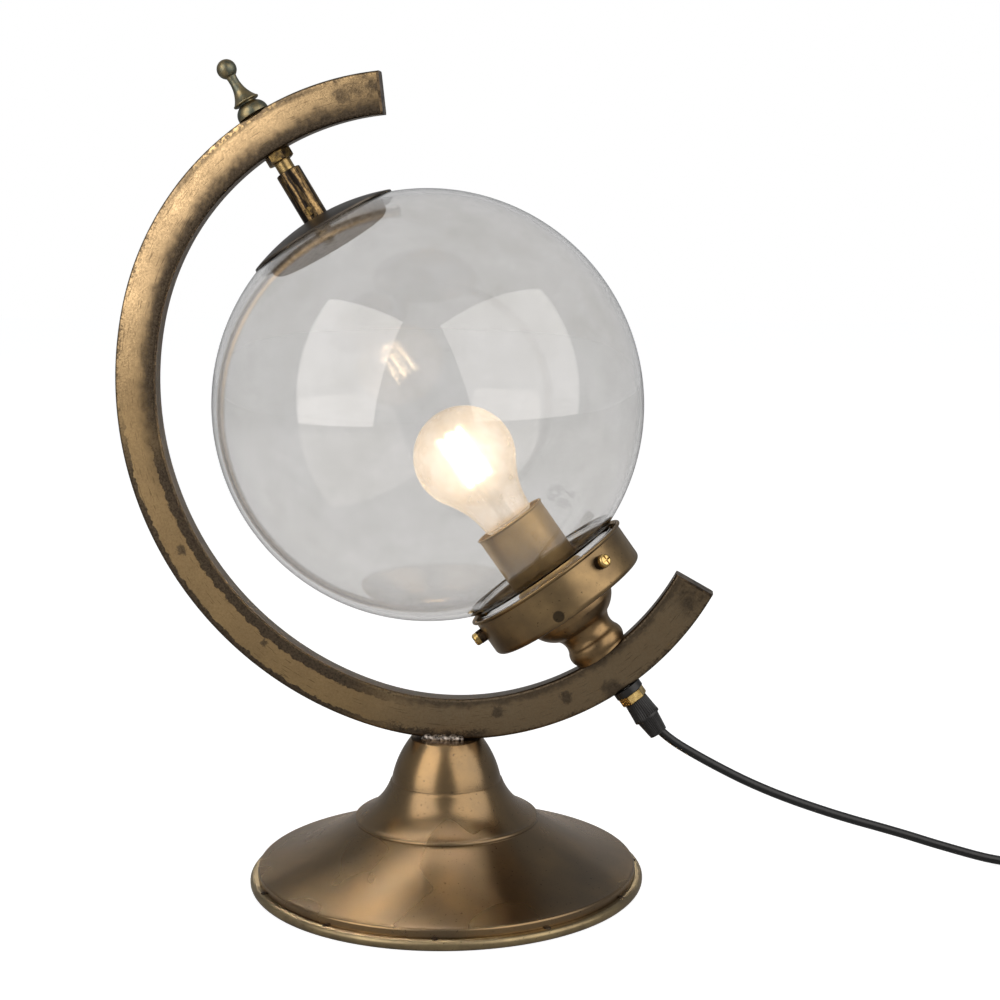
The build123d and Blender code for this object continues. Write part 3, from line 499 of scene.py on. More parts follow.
def lathe_rings(tree, place):
    """Fine rings round the axis: noise of the distances from the axis and along it."""
    parts = add(tree, "ShaderNodeSeparateXYZ", {"Vector": place}).outputs
    flat = add(tree, "ShaderNodeCombineXYZ", {"X": parts["X"], "Y": parts["Y"]}).outputs[0]
    radius = add(tree, "ShaderNodeVectorMath", {0: flat}, operation="LENGTH").outputs["Value"]
    around = add(tree, "ShaderNodeCombineXYZ", {"X": radius, "Z": parts["Z"]}).outputs[0]
    return add(
        tree,
        "ShaderNodeTexNoise",
        {"Vector": around, "Scale": 1 / (ring_pitch * MM), "Detail": 2.0},
    ).outputs[0]


def aged_brass(name, browns, spindle, patch, roughness, lathe=0.6, marks=()):
    """Brass with patches of three browns; lathe adds fine rings round the axis."""
    finish, tree, shader = new_finish(name, Metallic=1.0)
    bright, dull, dark = [colour(brown) for brown in browns]
    place = turned_place(tree, spindle)
    broad = blotches(tree, place, patch, 0.25, 0.75, detail=2.0)
    fine = blotches(tree, place, patch / 5, 0.25, 0.85, detail=6.0)
    specks = blotches(tree, place, speck_size, 0.66, 0.74, detail=2.0)
    body = mixed(tree, broad, bright, dull)
    body = mixed(tree, product(tree, fine, 0.55), body, dull)
    body = mixed(tree, product(tree, specks, 0.7), body, dark)
    for mark_middle, mark_radius in marks:
        mark = stain(tree, object_place(tree), mark_middle, mark_radius, 1.1, 0.85)
        body = mixed(tree, product(tree, mark, 0.8), body, dark)
    tree.links.new(body, shader.inputs["Base Color"])
    gloss = ranged(tree, broad, roughness, roughness + gloss_spread)
    tree.links.new(gloss, shader.inputs["Roughness"])
    height = product(tree, specks, 0.4)
    if lathe:
        rings = product(tree, lathe_rings(tree, place), lathe)
        height = math_node(tree, "ADD", height, rings)
    emboss(tree, shader, height, strength=0.25, distance=0.1)
    return finish


base_finish = aged_brass(
    "aged_brass_base",
    ("#9C7F58", "#6C5E4C", "#2E2823"),
    standing,
    patch=60,
    roughness=0.24,
    lathe=1.0,
)
ring_finish = aged_brass(
    "aged_brass_ring",
    ("#A6946F", "#786A53", "#2A241D"),
    standing,
    patch=14,
    roughness=0.34,
    lathe=0.0,
)
gallery_radius = 50.4
stain_distance = 138.0
stain_radius = 3.4
gallery_stain = globe_middle + (lower_axis * stain_distance - sideways * gallery_radius) * MM
gallery_finish = aged_brass(
    "aged_brass_gallery",
    ("#A68B62", "#726048", "#2C2823"),
    lower,
    patch=22,
    roughness=0.32,
    marks=[(gallery_stain, stain_radius)],
)
pillar_finish = aged_brass(
    "aged_brass_pillar", ("#A8895F", "#6B5942", "#231C16"), lower, patch=16, roughness=0.3
)
socket_finish = aged_brass(
    "satin_brass_socket", ("#D0B17E", "#A98C60", "#5E4E38"), lower, patch=24, roughness=0.38
)
cap_finish = aged_brass(
    "dark_bronze_cap", ("#6E675E", "#45403A", "#1C1916"), upper, patch=25, roughness=0.36
)
print("brass finishes:", [m.name for m in bpy.data.materials if "brass" in m.name])

# %% [markdown]
# ## The bow's and the sleeve's brass
# The tube's wide faces are a tan gold, with a painted highlight of pale gold near the top end,
# where the light falls on them, and the dark lacquer stays along the edges and in stains the
# size of a fingertip. A soft dark band on the inner third of the upper half is a painted
# reflection. Near the top end the lacquer has flaked off the outer edge. These follow the two
# numbers that the bow's mesh carries: the distance along the tube and across it.

# %% Finish: bow and sleeve


def read_number(tree, name):
    """A number that the mesh carries at each vertex."""
    return add(tree, "ShaderNodeAttribute", attribute_name=name).outputs["Fac"]


def stretch(tree, value, rise, fall):
    """1 between two places; it rises over one pair of millimetres, falls over the other."""
    return product(tree, ramp(tree, value, *rise), ramp(tree, value, *reversed(fall)))


bow_finish, tree, shader = new_finish("aged_brass_bow", Metallic=1.0)
along = read_number(tree, "along")
across = read_number(tree, "across")
depth = add(tree, "ShaderNodeSeparateXYZ", {"Vector": object_place(tree)}).outputs["Y"]
place = add(tree, "ShaderNodeCombineXYZ", {"X": along, "Y": across, "Z": depth}).outputs[0]
flat_place = add(tree, "ShaderNodeCombineXYZ", {"X": along, "Y": across}).outputs[0]
grain = blotches(tree, place, 1.2, 0.35, 0.7, detail=3.0)
wander = blotches(tree, place, 6, 0.3, 0.7)
broad = blotches(tree, place, 30, 0.35, 0.65)

# how far the borders of the lacquer stray from their lines
slow_stray = math_node(tree, "SUBTRACT", wander, 0.5)
fine_stray = math_node(tree, "SUBTRACT", grain, 0.5)
stray = math_node(
    tree, "ADD", product(tree, slow_stray, 4 * MM), product(tree, fine_stray, 2.5 * MM)
)
from_line = math_node(tree, "ABSOLUTE", across)
edge_place = math_node(tree, "ADD", from_line, stray)
band_place = math_node(tree, "ADD", across, stray)
lacquer_place = math_node(tree, "ADD", across, product(tree, slow_stray, 2.6 * MM))

# where the tube is dark: lacquer, stains and patina, and a painted reflection on the inner third
edges = ramp(tree, edge_place, 9.0, 12.8)
rims = ramp(tree, from_line, 11.2, 12.0)
# painted reflection: a soft dark band over the inner third of the upper half stands in for the
# dark surroundings that the face mirrors there
dark_reflection_band = product(tree, ramp(tree, band_place, 1.0, -9.0), ramp(tree, along, 330, 250))
lacquer = product(
    tree,
    stretch(tree, along, (240, 300), (470, 530)),
    strongest(
        tree, ramp(tree, lacquer_place, -5.2, -5.9), ramp(tree, lacquer_place, 7.9, 8.6)
    ),
)
low_run = ramp(tree, along, 470, 540)
low_band = product(tree, low_run, ramp(tree, band_place, -5.5, -10.0))
worn_rim = product(
    tree, ramp(tree, across, 6.8, 9.5), stretch(tree, along, (15, 50), (110, 170))
)
burnt = product(
    tree, stretch(tree, along, (500, 515), (556, 572)), ramp(tree, band_place, 5.0, 9.0)
)
ends = strongest(tree, ramp(tree, along, 40, 4), ramp(tree, along, 690, 713))
# each mark: millimetres along the tube, across it, and the mark's radius
bow_marks = (
    (21.0, 2.1, 4.5),
    (36.5, -7.5, 7.5),
    (345.6, 0.1, 3.0),
    (571.7, -2.9, 3.6),
    (613.6, -0.6, 3.0),
    (705.5, 2.2, 4.2),
    (640.0, 9.0, 6.0),
    (420.7, -2.2, 1.6),
)
mark_masks = []
for mark_along, mark_across, mark_radius in bow_marks:
    mark_middle = (mark_along * MM, mark_across * MM, 0)
    mark_masks.append(stain(tree, flat_place, mark_middle, mark_radius, 1.3, 0.6, stray))
dark_parts = (
    (edges, 0.8),
    (rims, 0.95),
    (dark_reflection_band, 0.95),
    (strongest(tree, *mark_masks), 0.75),
    (lacquer, 0.93),
    (low_band, 0.75),
    (burnt, 0.9),
    (worn_rim, 0.75),
    (ends, wander),
)
darkness = strongest(tree, *[product(tree, mask, strength) for mask, strength in dark_parts])

# the tan between, and the colours over both
drawn = add(
    tree,
    "ShaderNodeMapping",
    {"Vector": place, "Rotation": (0, 0, 0.5), "Scale": (0.07, 1, 1)},
).outputs[0]
scratches = blotches(tree, drawn, 0.7, 0.66, 0.7, detail=1.0)
# painted highlight: the wide faces are painted a pale gold near the top end, where the light falls
# on them
highlit_top_end = stretch(tree, along, (-40, 110), (160, 270))
tan = mixed(tree, low_run, colour("#A68C64"), colour("#84745C"))
for mask, strength, tone in (
    (highlit_top_end, 1.0, "#F0CD9C"),
    (broad, 0.4, "#7F6A4E"),
    (grain, 0.35, "#6C5943"),
    (scratches, 0.5, "#4A3C2C"),
):
    tan = mixed(tree, product(tree, mask, strength), tan, colour(tone))
dark = mixed(tree, grain, colour("#574C40"), colour("#2A2520"))
face = mixed(tree, darkness, tan, dark)
flakes = product(
    tree,
    ramp(tree, across, 7.5, 10),
    stretch(tree, along, (40, 80), (95, 125)),
    blotches(tree, place, 2.4, 0.5, 0.56, detail=3.0),
)
face = mixed(tree, flakes, face, colour("#E6C48E"))
inner_side = ramp(tree, across, -12.0, -12.2)
face = mixed(tree, product(tree, inner_side, 0.8), face, colour("#9C9082"))
tree.links.new(face, shader.inputs["Base Color"])
tree.links.new(ranged(tree, grain, 0.34, 0.48), shader.inputs["Roughness"])
bow_height = math_node(tree, "ADD", grain, product(tree, darkness, 1.5))
emboss(tree, shader, bow_height, strength=0.35, distance=0.12)

sleeve_finish, tree, shader = new_finish("dark_bronze_sleeve", Metallic=1.0)
place = turned_place(tree, upper)
drawn = add(tree, "ShaderNodeMapping", {"Vector": place, "Scale": (1, 1, 0.12)}).outputs[0]
streaks = blotches(tree, drawn, 2.4, 0.47, 0.62, detail=3.0)
rubbed = blotches(tree, place, 1.2, 0.4, 0.65, detail=2.0)
metal = mixed(tree, streaks, colour("#2E2823"), colour("#A98B5E"))
metal = mixed(tree, product(tree, rubbed, 0.5), metal, colour("#221E1A"))
tree.links.new(metal, shader.inputs["Base Color"])
tree.links.new(ranged(tree, rubbed, 0.28, 0.42), shader.inputs["Roughness"])
emboss(tree, shader, rubbed, strength=0.3, distance=0.08)
print("finishes:", bow_finish.name, sleeve_finish.name)

# %% [markdown]
# ## Plain finishes
# Screws are polished yellow brass, the nut and the set screw at the top browned brass, and
# the finial is brass gone grey green. The outlet's washer and grip, the switch and the plug
# are black moulded plastic, and the cord is soft rubber.

# %% Finishes: bright brass, steel, paint, plastic, rubber


def simple_finish(name, first, second, patch, roughness, relief, **constants):
    """Two close tones in patches of a size in millimetres, with a relief of the same grain."""
    finish, tree, shader = new_finish(name, **constants)
    place = object_place(tree)
    mask = blotches(tree, place, patch, 0.4, 0.6)
    tree.links.new(mixed(tree, mask, colour(first), colour(second)), shader.inputs["Base Color"])
    gloss = ranged(tree, mask, roughness, roughness + 0.08)
    tree.links.new(gloss, shader.inputs["Roughness"])
    emboss(tree, shader, mask, strength=0.3, distance=relief)
    return finish


bright_brass = simple_finish("polished_brass", "#DDBE7C", "#A88B54", 4, 0.2, 0.02, Metallic=1.0)
rod_brass = simple_finish("brass_rod", "#B09664", "#7E6A48", 5, 0.26, 0.03, Metallic=1.0)
steel = simple_finish("bright_steel", "#C8C6C2", "#9C9A96", 6, 0.3, 0.02, Metallic=1.0)
nickel = simple_finish("nickel_plate", "#DAD8D2", "#B8B6B0", 6, 0.2, 0.01, Metallic=1.0)
browned_brass = simple_finish("browned_brass", "#A08450", "#40352A", 3, 0.26, 0.03, Metallic=1.0)
plate_brass = simple_finish("end_plate_brass", "#7C6850", "#3A322A", 5, 0.38, 0.05, Metallic=1.0)
finial_finish = simple_finish(
    "grey_green_brass", "#9C8C68", "#686A5C", 6, 0.36, 0.03, Metallic=1.0
)
cup_finish = simple_finish("taupe_lacquer", "#A2978A", "#857A6C", 3, 0.5, 0.05, Metallic=0.4)
weld_finish = simple_finish("weld_metal", "#B4ABA2", "#2C2622", 1.6, 0.34, 0.3, Metallic=0.9)
tack_finish = simple_finish("tack_weld", "#5A4C3C", "#211C18", 1.6, 0.5, 0.2, Metallic=0.9)
black_plastic = simple_finish("moulded_abs_black", "#0C0B0A", "#171413", 0.8, 0.36, 0.04)
rubber = simple_finish("cord_rubber", "#050505", "#0D0D0E", 3, 0.3, 0.05)
seat_rubber = simple_finish("seat_rubber", "#C9C7BE", "#B4B2A8", 4, 0.6, 0.05)
casting = simple_finish("rough_casting", "#3A3A3A", "#2A2A2A", 2, 0.7, 0.4)
felt = simple_finish("dark_felt", "#20231F", "#161815", 0.6, 0.9, 0.3)
ceramic = simple_finish("glazed_steatite", "#E6E0D2", "#D8D2C4", 8, 0.2, 0.02)
black_glass = simple_finish("black_glass", "#101014", "#18181C", 4, 0.1, 0.01)
# painted shade: the gallery's bosses get a dark brown that stands in for the shade on them
shade_dark_bronze = simple_finish("bronze_painted_shade", "#4A3C2E", "#2A2019", 3, 0.38, 0.05, Metallic=1.0)
print("finishes so far:", len(bpy.data.materials))

# %% [markdown]
# ## Glass and light
# The globe is clear soda glass, faintly grey, with a real wall. Glass would cast a hard black
# shadow and darken what is inside it, so shadow and diffuse rays pass straight through.
# The bulb's glass is a little hazy and glows softly round its lit filaments.

# %% Finishes: glass and glow
bulb_glow = 0.12
filament_glow = (125, 165)


def clear_glass(name, tint, smudge, patch, roughness, haze):
    """Soda glass with faint smudges, which lets shadow and diffuse rays through."""
    finish, tree, shader = new_finish(
        name, Roughness=roughness, IOR=1.5, Transmission_Weight=1.0
    )
    place = object_place(tree)
    mask = blotches(tree, place, patch, 0.4, 0.7, detail=3.0)
    tree.links.new(mixed(tree, mask, colour(tint), colour(smudge)), shader.inputs["Base Color"])
    if haze:
        rough = ranged(tree, mask, roughness, roughness + haze)
        tree.links.new(rough, shader.inputs["Roughness"])
    output = tree.nodes["Material Output"]
    rays = add(tree, "ShaderNodeLightPath").outputs
    passing = math_node(tree, "MAXIMUM", rays["Is Shadow Ray"], rays["Is Diffuse Ray"])
    clear = add(tree, "ShaderNodeBsdfTransparent", {"Color": colour("#F0F0F0")})
    both = add(
        tree,
        "ShaderNodeMixShader",
        {0: passing, 1: shader.outputs[0], 2: clear.outputs[0]},
    )
    tree.links.new(both.outputs[0], output.inputs["Surface"])
    return finish


globe_glass = clear_glass("soda_glass_globe", "#E1E0DF", "#DAD9D7", 40, 0.0, 0.0)
stem_glass = clear_glass("soda_glass_stem", "#F4F4F4", "#E8E8E8", 3, 0.0, 0.05)
bulb_finish = clear_glass("hazy_bulb_glass", "#FFFFFF", "#F6F0E8", 8, 0.22, 0.06)
shader = bulb_finish.node_tree.nodes["Principled BSDF"]
shader.inputs["Emission Color"].default_value = colour("#FFDDB0")
shader.inputs["Emission Strength"].default_value = bulb_glow
filament_finish, tree, shader = new_finish("lit_filament")
shader.inputs["Emission Color"].default_value = colour("#FFE2B8")
glow = ranged(tree, blotches(tree, object_place(tree), 4, 0.3, 0.7), *filament_glow)
tree.links.new(glow, shader.inputs["Emission Strength"])
print("glass:", globe_glass.name, stem_glass.name)

# %% [markdown]
# ## The base bell
# Spun from one brass disc: the spinner presses the sheet over a wooden former, so the outline
# is a flat top, a swelling shoulder, a hollow flare, a bright bead and a hollow skirt with a
# rolled lip. Turning the same outline about the standing axis gives the same piece.

# %% Piece: base bell


def walled(line, wall):
    """Closes a line into a wall: the line, and the line again offset to its left."""
    back = []
    for index, point in enumerate(line):
        here = Vector(point)
        runs = []
        if index:
            runs.append(here - Vector(line[index - 1]))
        if index < len(line) - 1:
            runs.append(Vector(line[index + 1]) - here)
        lefts = [Vector((-run.y, run.x)).normalized() for run in runs]
        bisector = sum(lefts, Vector((0, 0))).normalized()
        moved = here + bisector * wall / max(bisector.dot(lefts[0]), 0.5)
        back.append((0 if point[0] == 0 else moved.x, moved.y))
    return [*line, *reversed(back)]


def rounded(middle, radius, start, end, count=10):
    """Points of a circle between two angles in degrees, both ends included."""
    angles = [math.radians(start + (end - start) * index / count) for index in range(count + 1)]
    return [(middle[0] + radius * math.cos(a), middle[1] + radius * math.sin(a)) for a in angles]


def turned(name, outline, spindle, body, finish, steps=144):
    """A turned piece that stands in for the solid of the same name."""
    on_axis = outline[0][0] == 0 and outline[-1][0] == 0
    bm = spun(outline, spindle, closed=not on_axis, steps=steps)
    piece = keep(name + "_turned", bm, body, finish)
    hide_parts(name)
    return piece


bell_sheet = 1.2
bell_top = (21, 88)
shoulder_end = (32.6, 62.6)
shoulder_bulge = 1.7
flare_start = (33.5, 61.7)
flare_hollow = 3.0
bead_middle = (53.4, 39.0)
skirt_hollow = 2.8
lip_middle = (111.25, 10.2)
lip_foot = 6.5
roll_radius = 1.6
bead_top = (bead_middle[0], bead_middle[1] + roll_radius)
bead_line = rounded(bead_middle, roll_radius, 90, -30, 8)
lip_line = rounded(lip_middle, roll_radius, 90, 0, 8)
bell_line = [
    (0, bell_top[1]),
    bell_top,
    *arc(bell_top, shoulder_end, shoulder_bulge, 16),
    flare_start,
    *arc(flare_start, bead_top, -flare_hollow, 16),
    *bead_line[1:],
    *arc(bead_line[-1], lip_line[0], -skirt_hollow, 32)[:-1],
    *lip_line,
    (lip_middle[0] + roll_radius, lip_foot),
]
bell = turned(
    "base_bell",
    walled(bell_line, -bell_sheet),
    standing,
    "lamp",
    base_finish,
    steps=192,
)
soften(bell, 0.25, angle=35)
print("bell faces:", len(bell.data.polygons))

# %% [markdown]
# ## The foot ring
# A rolled flat ring under the lip keeps the thin bell round. Small tack welds hold it, each a
# flattened drop of dark metal in the corner between the lip and the ring.

# %% Piece: foot ring
ring_inner = 108.0
ring_outer = 117.6
ring_flat_end = 116.0
ring_bottom = 0.6
ring_top = 6.5
ring_round = 2.6
round_place = ring_outer - ring_round
ring_line = [
    (ring_inner, ring_bottom),
    (ring_flat_end, ring_bottom),
    *rounded((round_place, ring_bottom + ring_round), ring_round, -90, 0, 6)[1:],
    *rounded((round_place, ring_top - ring_round), ring_round, 0, 90, 6),
    (ring_inner, ring_top),
]
ring = turned("base_ring", ring_line, standing, "lamp", ring_finish, steps=192)
tack_count = 11
tack_start = 241.0
tack_circle = 113.6
tack_height = 6.3
tack_radius = 2.1
tack_squash = 0.55


def drop(bm, place, radius, stretch):
    """Adds a ball of metal, in millimetres, drawn out or squashed along its axes."""
    made = bmesh.ops.create_icosphere(bm, subdivisions=3, radius=radius * MM)
    bmesh.ops.scale(bm, vec=stretch, verts=made["verts"])
    bmesh.ops.translate(bm, vec=Vector(place) * MM, verts=made["verts"])


tack_bm = bmesh.new()
for index in range(tack_count):
    turn = math.radians(tack_start + index * 360 / tack_count)
    place = (tack_circle * math.cos(turn), tack_circle * math.sin(turn), tack_height)
    drop(tack_bm, place, tack_radius, (1, 1, tack_squash))
keep("ring_tacks", tack_bm, "lamp", tack_finish)
for piece in (bell, ring):
    top_lit.objects.link(piece)
print("ring height in mm:", round(ring.dimensions.z / MM, 2))

# %% [markdown]
# ## The bow
# Flat brass tube, 24.5 mm by 13 mm with soft corners, rolled to an oval. The section goes round
# three arcs that meet without a kink, as it would through the rolls of a bender. Two numbers
# stay with every vertex: how far along the tube it lies and how far across its wide side, so
# that dark edges and stains can follow the bend.

# %% Piece: bow
bow_width = 24.5
bow_depth = 13.0
bow_corner = 2.0
angle_slack = 0.01
# each arc: its middle, the tube's outer radius there, its first and its last angle
bow_arcs = (
    (Vector((-19.441, 0, 303.521)), 174.0, 96.0, 166.345),
    (Vector((14.388, 0, 295.302)), 208.814, 166.345, 253.055),
    (Vector((4.241, 0, 262.0)), 174.0, 253.055, 330.8),
)
section_line = []
for side_x, side_y, corner_angle in ((1, 1, 0), (-1, 1, 90), (-1, -1, 180), (1, -1, 270)):
    corner_middle = (
        side_x * (bow_width / 2 - bow_corner),
        side_y * (bow_depth / 2 - bow_corner),
    )
    section_line += rounded(corner_middle, bow_corner, corner_angle, corner_angle + 90, 5)
first_middle, first_radius, first_angle = bow_arcs[0][:3]
outward = Vector((math.cos(math.radians(first_angle)), 0, math.sin(math.radians(first_angle))))
bm = bmesh.new()
ring_vertices = [
    bm.verts.new(
        (first_middle + outward * (first_radius - bow_width / 2 + across) + sideways * depth) * MM
    )
    for across, depth in section_line
]
next_vertices = [*ring_vertices[1:], ring_vertices[0]]
loop = [bm.edges.new(pair) for pair in zip(ring_vertices, next_vertices)]
for middle, radius, begin, end in bow_arcs:
    swept = bmesh.ops.spin(
        bm,
        geom=loop,
        cent=middle * MM,
        axis=-sideways,
        angle=math.radians(end - begin),
        steps=round(end - begin),
        use_duplicate=False,
    )
    loop = [part for part in swept["geom_last"] if isinstance(part, bmesh.types.BMEdge)]
bmesh.ops.holes_fill(bm, edges=[edge for edge in bm.edges if edge.is_boundary], sides=0)
bmesh.ops.recalc_face_normals(bm, faces=bm.faces)
along_layer = bm.verts.layers.float.new("along")
across_layer = bm.verts.layers.float.new("across")
for vertex in bm.verts:
    passed = 0
    for middle, radius, begin, end in bow_arcs:
        from_middle = vertex.co / MM - middle
        angle = math.degrees(math.atan2(from_middle.z, from_middle.x)) % 360
        if angle <= end + angle_slack or end == bow_arcs[-1][3]:
            break
        passed += math.radians(end - begin) * (radius - bow_width / 2)
    flat = math.hypot(from_middle.x, from_middle.z)
    centre_radius = radius - bow_width / 2
    vertex[along_layer] = (passed + math.radians(angle - begin) * centre_radius) * MM
    vertex[across_layer] = (flat - centre_radius) * MM
bow = keep("bow_tube_rolled", bm, "lamp", bow_finish)
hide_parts("bow_tube")
bow_length = max(item.value for item in bow.data.attributes["along"].data) / MM
print("bow length in mm:", round(bow_length))

# %% [markdown]
# ## Weld
# The bow is welded to the bell's flat top from both sides: a row of overlapping drops of metal,
# each as wide as the arc's puddle.

# %% Piece: weld
drop_count = 12
drop_step = 1.9
first_drop = -12.2
drop_side = 6.7
drop_height = 88.4
drop_radius = 2.1
drop_swell = 0.55
drop_stretch = 1.25
bm = bmesh.new()
for side in (-1, 1):
    for index in range(drop_count):
        swell = math.sin(index * 2.4 + side) * drop_swell
        place = (
            first_drop + index * drop_step,
            side * (drop_side + swell * 0.4),
            drop_height + swell * 0.6,
        )
        drop(bm, place, drop_radius + swell, (drop_stretch, 1, 1))
weld = keep("weld_bead_drops", bm, "lamp", weld_finish)
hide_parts("weld_bead")
print("weld drops:", 2 * drop_count)

# %% [markdown]
# ## Finial
# A little turned piece of brass that hides the end of the rod: a domed foot, a waist, a
# collar, a hollow neck and a ball, all from one bar in a lathe.

# %% Piece: finial
seat = 194.138
dome_radius = 9.4
dome_bulge = 1.5
waist = (4.9, seat + 7.4)
collar_radius = 7.35
collar_start = seat + 8.2
collar_round = 0.6
throat_radius = 3.05
throat_hollow = 1.75
ball_radius = 5.75
ball_height = seat + 30.0
ball_sink = math.sqrt(ball_radius**2 - throat_radius**2)
ball_start = math.degrees(math.asin(-ball_sink / ball_radius))
collar_end = (collar_radius, collar_start + 2 * collar_round)
finial_line = [
    (0, seat),
    (dome_radius, seat),
    *arc((dome_radius, seat), waist, -dome_bulge, 12),
    (waist[0], collar_start),
    (collar_radius, collar_start),
    *rounded((collar_radius, collar_start + collar_round), collar_round, -90, 90, 8),
    *arc(collar_end, (throat_radius, ball_height - ball_sink), throat_hollow, 16),
    *rounded((0, ball_height), ball_radius, ball_start, 90, 24)[1:-1],
    (0, ball_height + ball_radius),
]
finial = turned("finial", finial_line, upper, "lamp", finial_finish, steps=72)
soften(finial, 0.2, angle=40)
print("finial faces:", len(finial.data.polygons))

# %% [markdown]
# ## Sleeve, cap and cup
# These three slide together on the threaded rod: the sleeve is a turned tube with a set screw,
# the cap a shallow spun dish that lies on the glass and the cup a pressed dish that reaches
# into the globe's opening and centres it.

# %% Pieces: sleeve, cap, cup
rod_hole = 5.05
sleeve_radius = 7.5
sleeve_round = 0.8
sleeve_start = 125.3
sleeve_end = 157.0
sleeve_corner = (sleeve_radius - sleeve_round, sleeve_end - sleeve_round)
sleeve_line = [
    (rod_hole, sleeve_start),
    (sleeve_radius, sleeve_start),
    *rounded(sleeve_corner, sleeve_round, 0, 90, 6),
    (rod_hole, sleeve_end),
]
sleeve = turned("cap_sleeve", sleeve_line, upper, "cap", sleeve_finish, steps=72)


def dish(radius, start, end, count=24):
    """Points of a ball's outline between two distances from its axis."""
    stops = [start + (end - start) * index / count for index in range(count + 1)]
    return [(stop, math.sqrt(radius**2 - stop**2)) for stop in stops]


cap_outer = 126.2
cap_inner = 125.3
cap_edge = 45.4
cap_line = [*dish(cap_outer, sleeve_radius, cap_edge), *dish(cap_inner, cap_edge, sleeve_radius)]
cap = turned("globe_cap", cap_line, upper, "cap", cap_finish)
cup_sheet = 0.8
cup_radius = 38.0
cup_round = 4.4
cup_floor = 107.98
cup_rim = 119.4
cup_flat = cup_radius - cup_round
cup_line = [
    (0, cup_floor),
    (cup_flat, cup_floor),
    *rounded((cup_flat, cup_floor + cup_round), cup_round, -90, 0, 8),
    (cup_radius, cup_rim),
]
cup = turned("cap_cup", walled(cup_line, cup_sheet), upper, "cap", cup_finish)
print("cap pieces:", sleeve.name, cap.name, cup.name)

# %% [markdown]
# ## Glass globe
# A stock globe, blown in a mould, 250 mm across with a wall of 2.5 mm. Its neck is turned out
# to a lip that stands on the soft ring in the gallery. The round opening at the other end is
# cut: here two planes cut the outer and the inner ball and the gap between is bridged.

# %% Piece: glass globe
globe_radius = 125.0
glass_wall = 2.5
opening_radius = 39.25
neck_radius = 46.5
neck_round = 5.0
neck_end = 135.6
lip_radius = 48.2
lip_start = 136.6
lip_end = 139.4
lip_face = (44.5, 140.0)
lip_rounding = 0.6
inner_neck = neck_radius - glass_wall
inner_neck_end = 139.5
inner_radius = globe_radius - glass_wall
round_across = neck_radius + neck_round
round_middle = (round_across, math.sqrt((globe_radius + neck_round) ** 2 - round_across**2))
touch = math.degrees(math.atan2(round_middle[1], round_middle[0]))
inner_touch = math.degrees(math.acos(inner_neck / inner_radius))
globe_line = [
    (0, -globe_radius),
    *rounded((0, 0), globe_radius, -90, touch, 96)[1:],
    *rounded(round_middle, neck_round, touch - 180, -180, 8)[1:],
    (neck_radius, neck_end),
    *arc((neck_radius, neck_end), (lip_radius, lip_start), -0.3, 4),
    (lip_radius, lip_end),
    *arc((lip_radius, lip_end), (lip_radius - lip_rounding, lip_face[1]), 0.2, 4),
    lip_face,
    (inner_neck, inner_neck_end),
    *rounded((0, 0), inner_radius, inner_touch, -90, 96)[:-1],
    (0, -inner_radius),
]
bm = spun(globe_line, lower, closed=False, steps=160)
between = (globe_radius + inner_radius) / 2 * MM
for shell_radius, outside in ((globe_radius, True), (inner_radius, False)):
    shell = [
        face
        for face in bm.faces
        if ((face.calc_center_median() - globe_middle).length > between) == outside
        and (face.calc_center_median() - globe_middle).dot(upper_axis) > 0
    ]
    shell_edges = {edge for face in shell for edge in face.edges}
    shell_vertices = {vertex for face in shell for vertex in face.verts}
    distance = math.sqrt(shell_radius**2 - opening_radius**2) * MM
    bmesh.ops.bisect_plane(
        bm,
        geom=[*shell, *shell_edges, *shell_vertices],
        plane_co=globe_middle + upper_axis * distance,
        plane_no=upper_axis,
        clear_outer=True,
    )
bmesh.ops.bridge_loops(bm, edges=[edge for edge in bm.edges if edge.is_boundary])
bmesh.ops.recalc_face_normals(bm, faces=bm.faces)
globe = keep("glass_globe_blown", bm, "lamp", globe_glass, crease=50)
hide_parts("glass_globe")
print("globe faces:", len(globe.data.polygons), "size", [round(v, 4) for v in globe.dimensions])

# %% [markdown]
# ## Gallery and pillar
# The gallery is a pressed cup with a rolled rim; the pillar is turned from bar with a flange, a
# hollow waist and a foot, and the foot is filed to sit on the bend of the bow.

# %% Pieces: gallery, pillar
gallery_floor = 143.1
gallery_sheet = 0.9
gallery_flat = 47.0
gallery_corner = (46.95, 139.65)
gallery_round = 3.45
gallery_wall_end = 120.5
rim_middle = (51.3, 118.9)
rim_radius = 1.0
rim_end = 119.0
gallery_line = [
    (rod_hole, gallery_floor),
    (gallery_flat, gallery_floor),
    *rounded(gallery_corner, gallery_round, 90, 0, 8),
    (gallery_radius, gallery_wall_end),
    *rounded(rim_middle, rim_radius, 110, -150, 14),
    (gallery_radius - gallery_sheet, rim_end),
    *rounded(gallery_corner, gallery_round - gallery_sheet, 0, 90, 8),
    (rod_hole, gallery_floor - gallery_sheet),
]
gallery = turned("gallery", gallery_line, lower, "lamp", gallery_finish)
seat_distance = 176.999
flange = (26.0, gallery_floor + 5.8)
dish_end = (17.5, gallery_floor + 14.0)
dish_bulge = 0.9
waist_start = (17.3, dish_end[1] + 0.3)
throat = (16.4, seat_distance - 10.4)
waist_hollow = 1.4
foot_radius = 16.6
foot_start = (foot_radius, throat[1] + 0.3)
foot_end = (foot_radius, seat_distance - 2.2)
foot_bulge = 1.1
saddle_step = 1.9
saddle_sink = 0.6
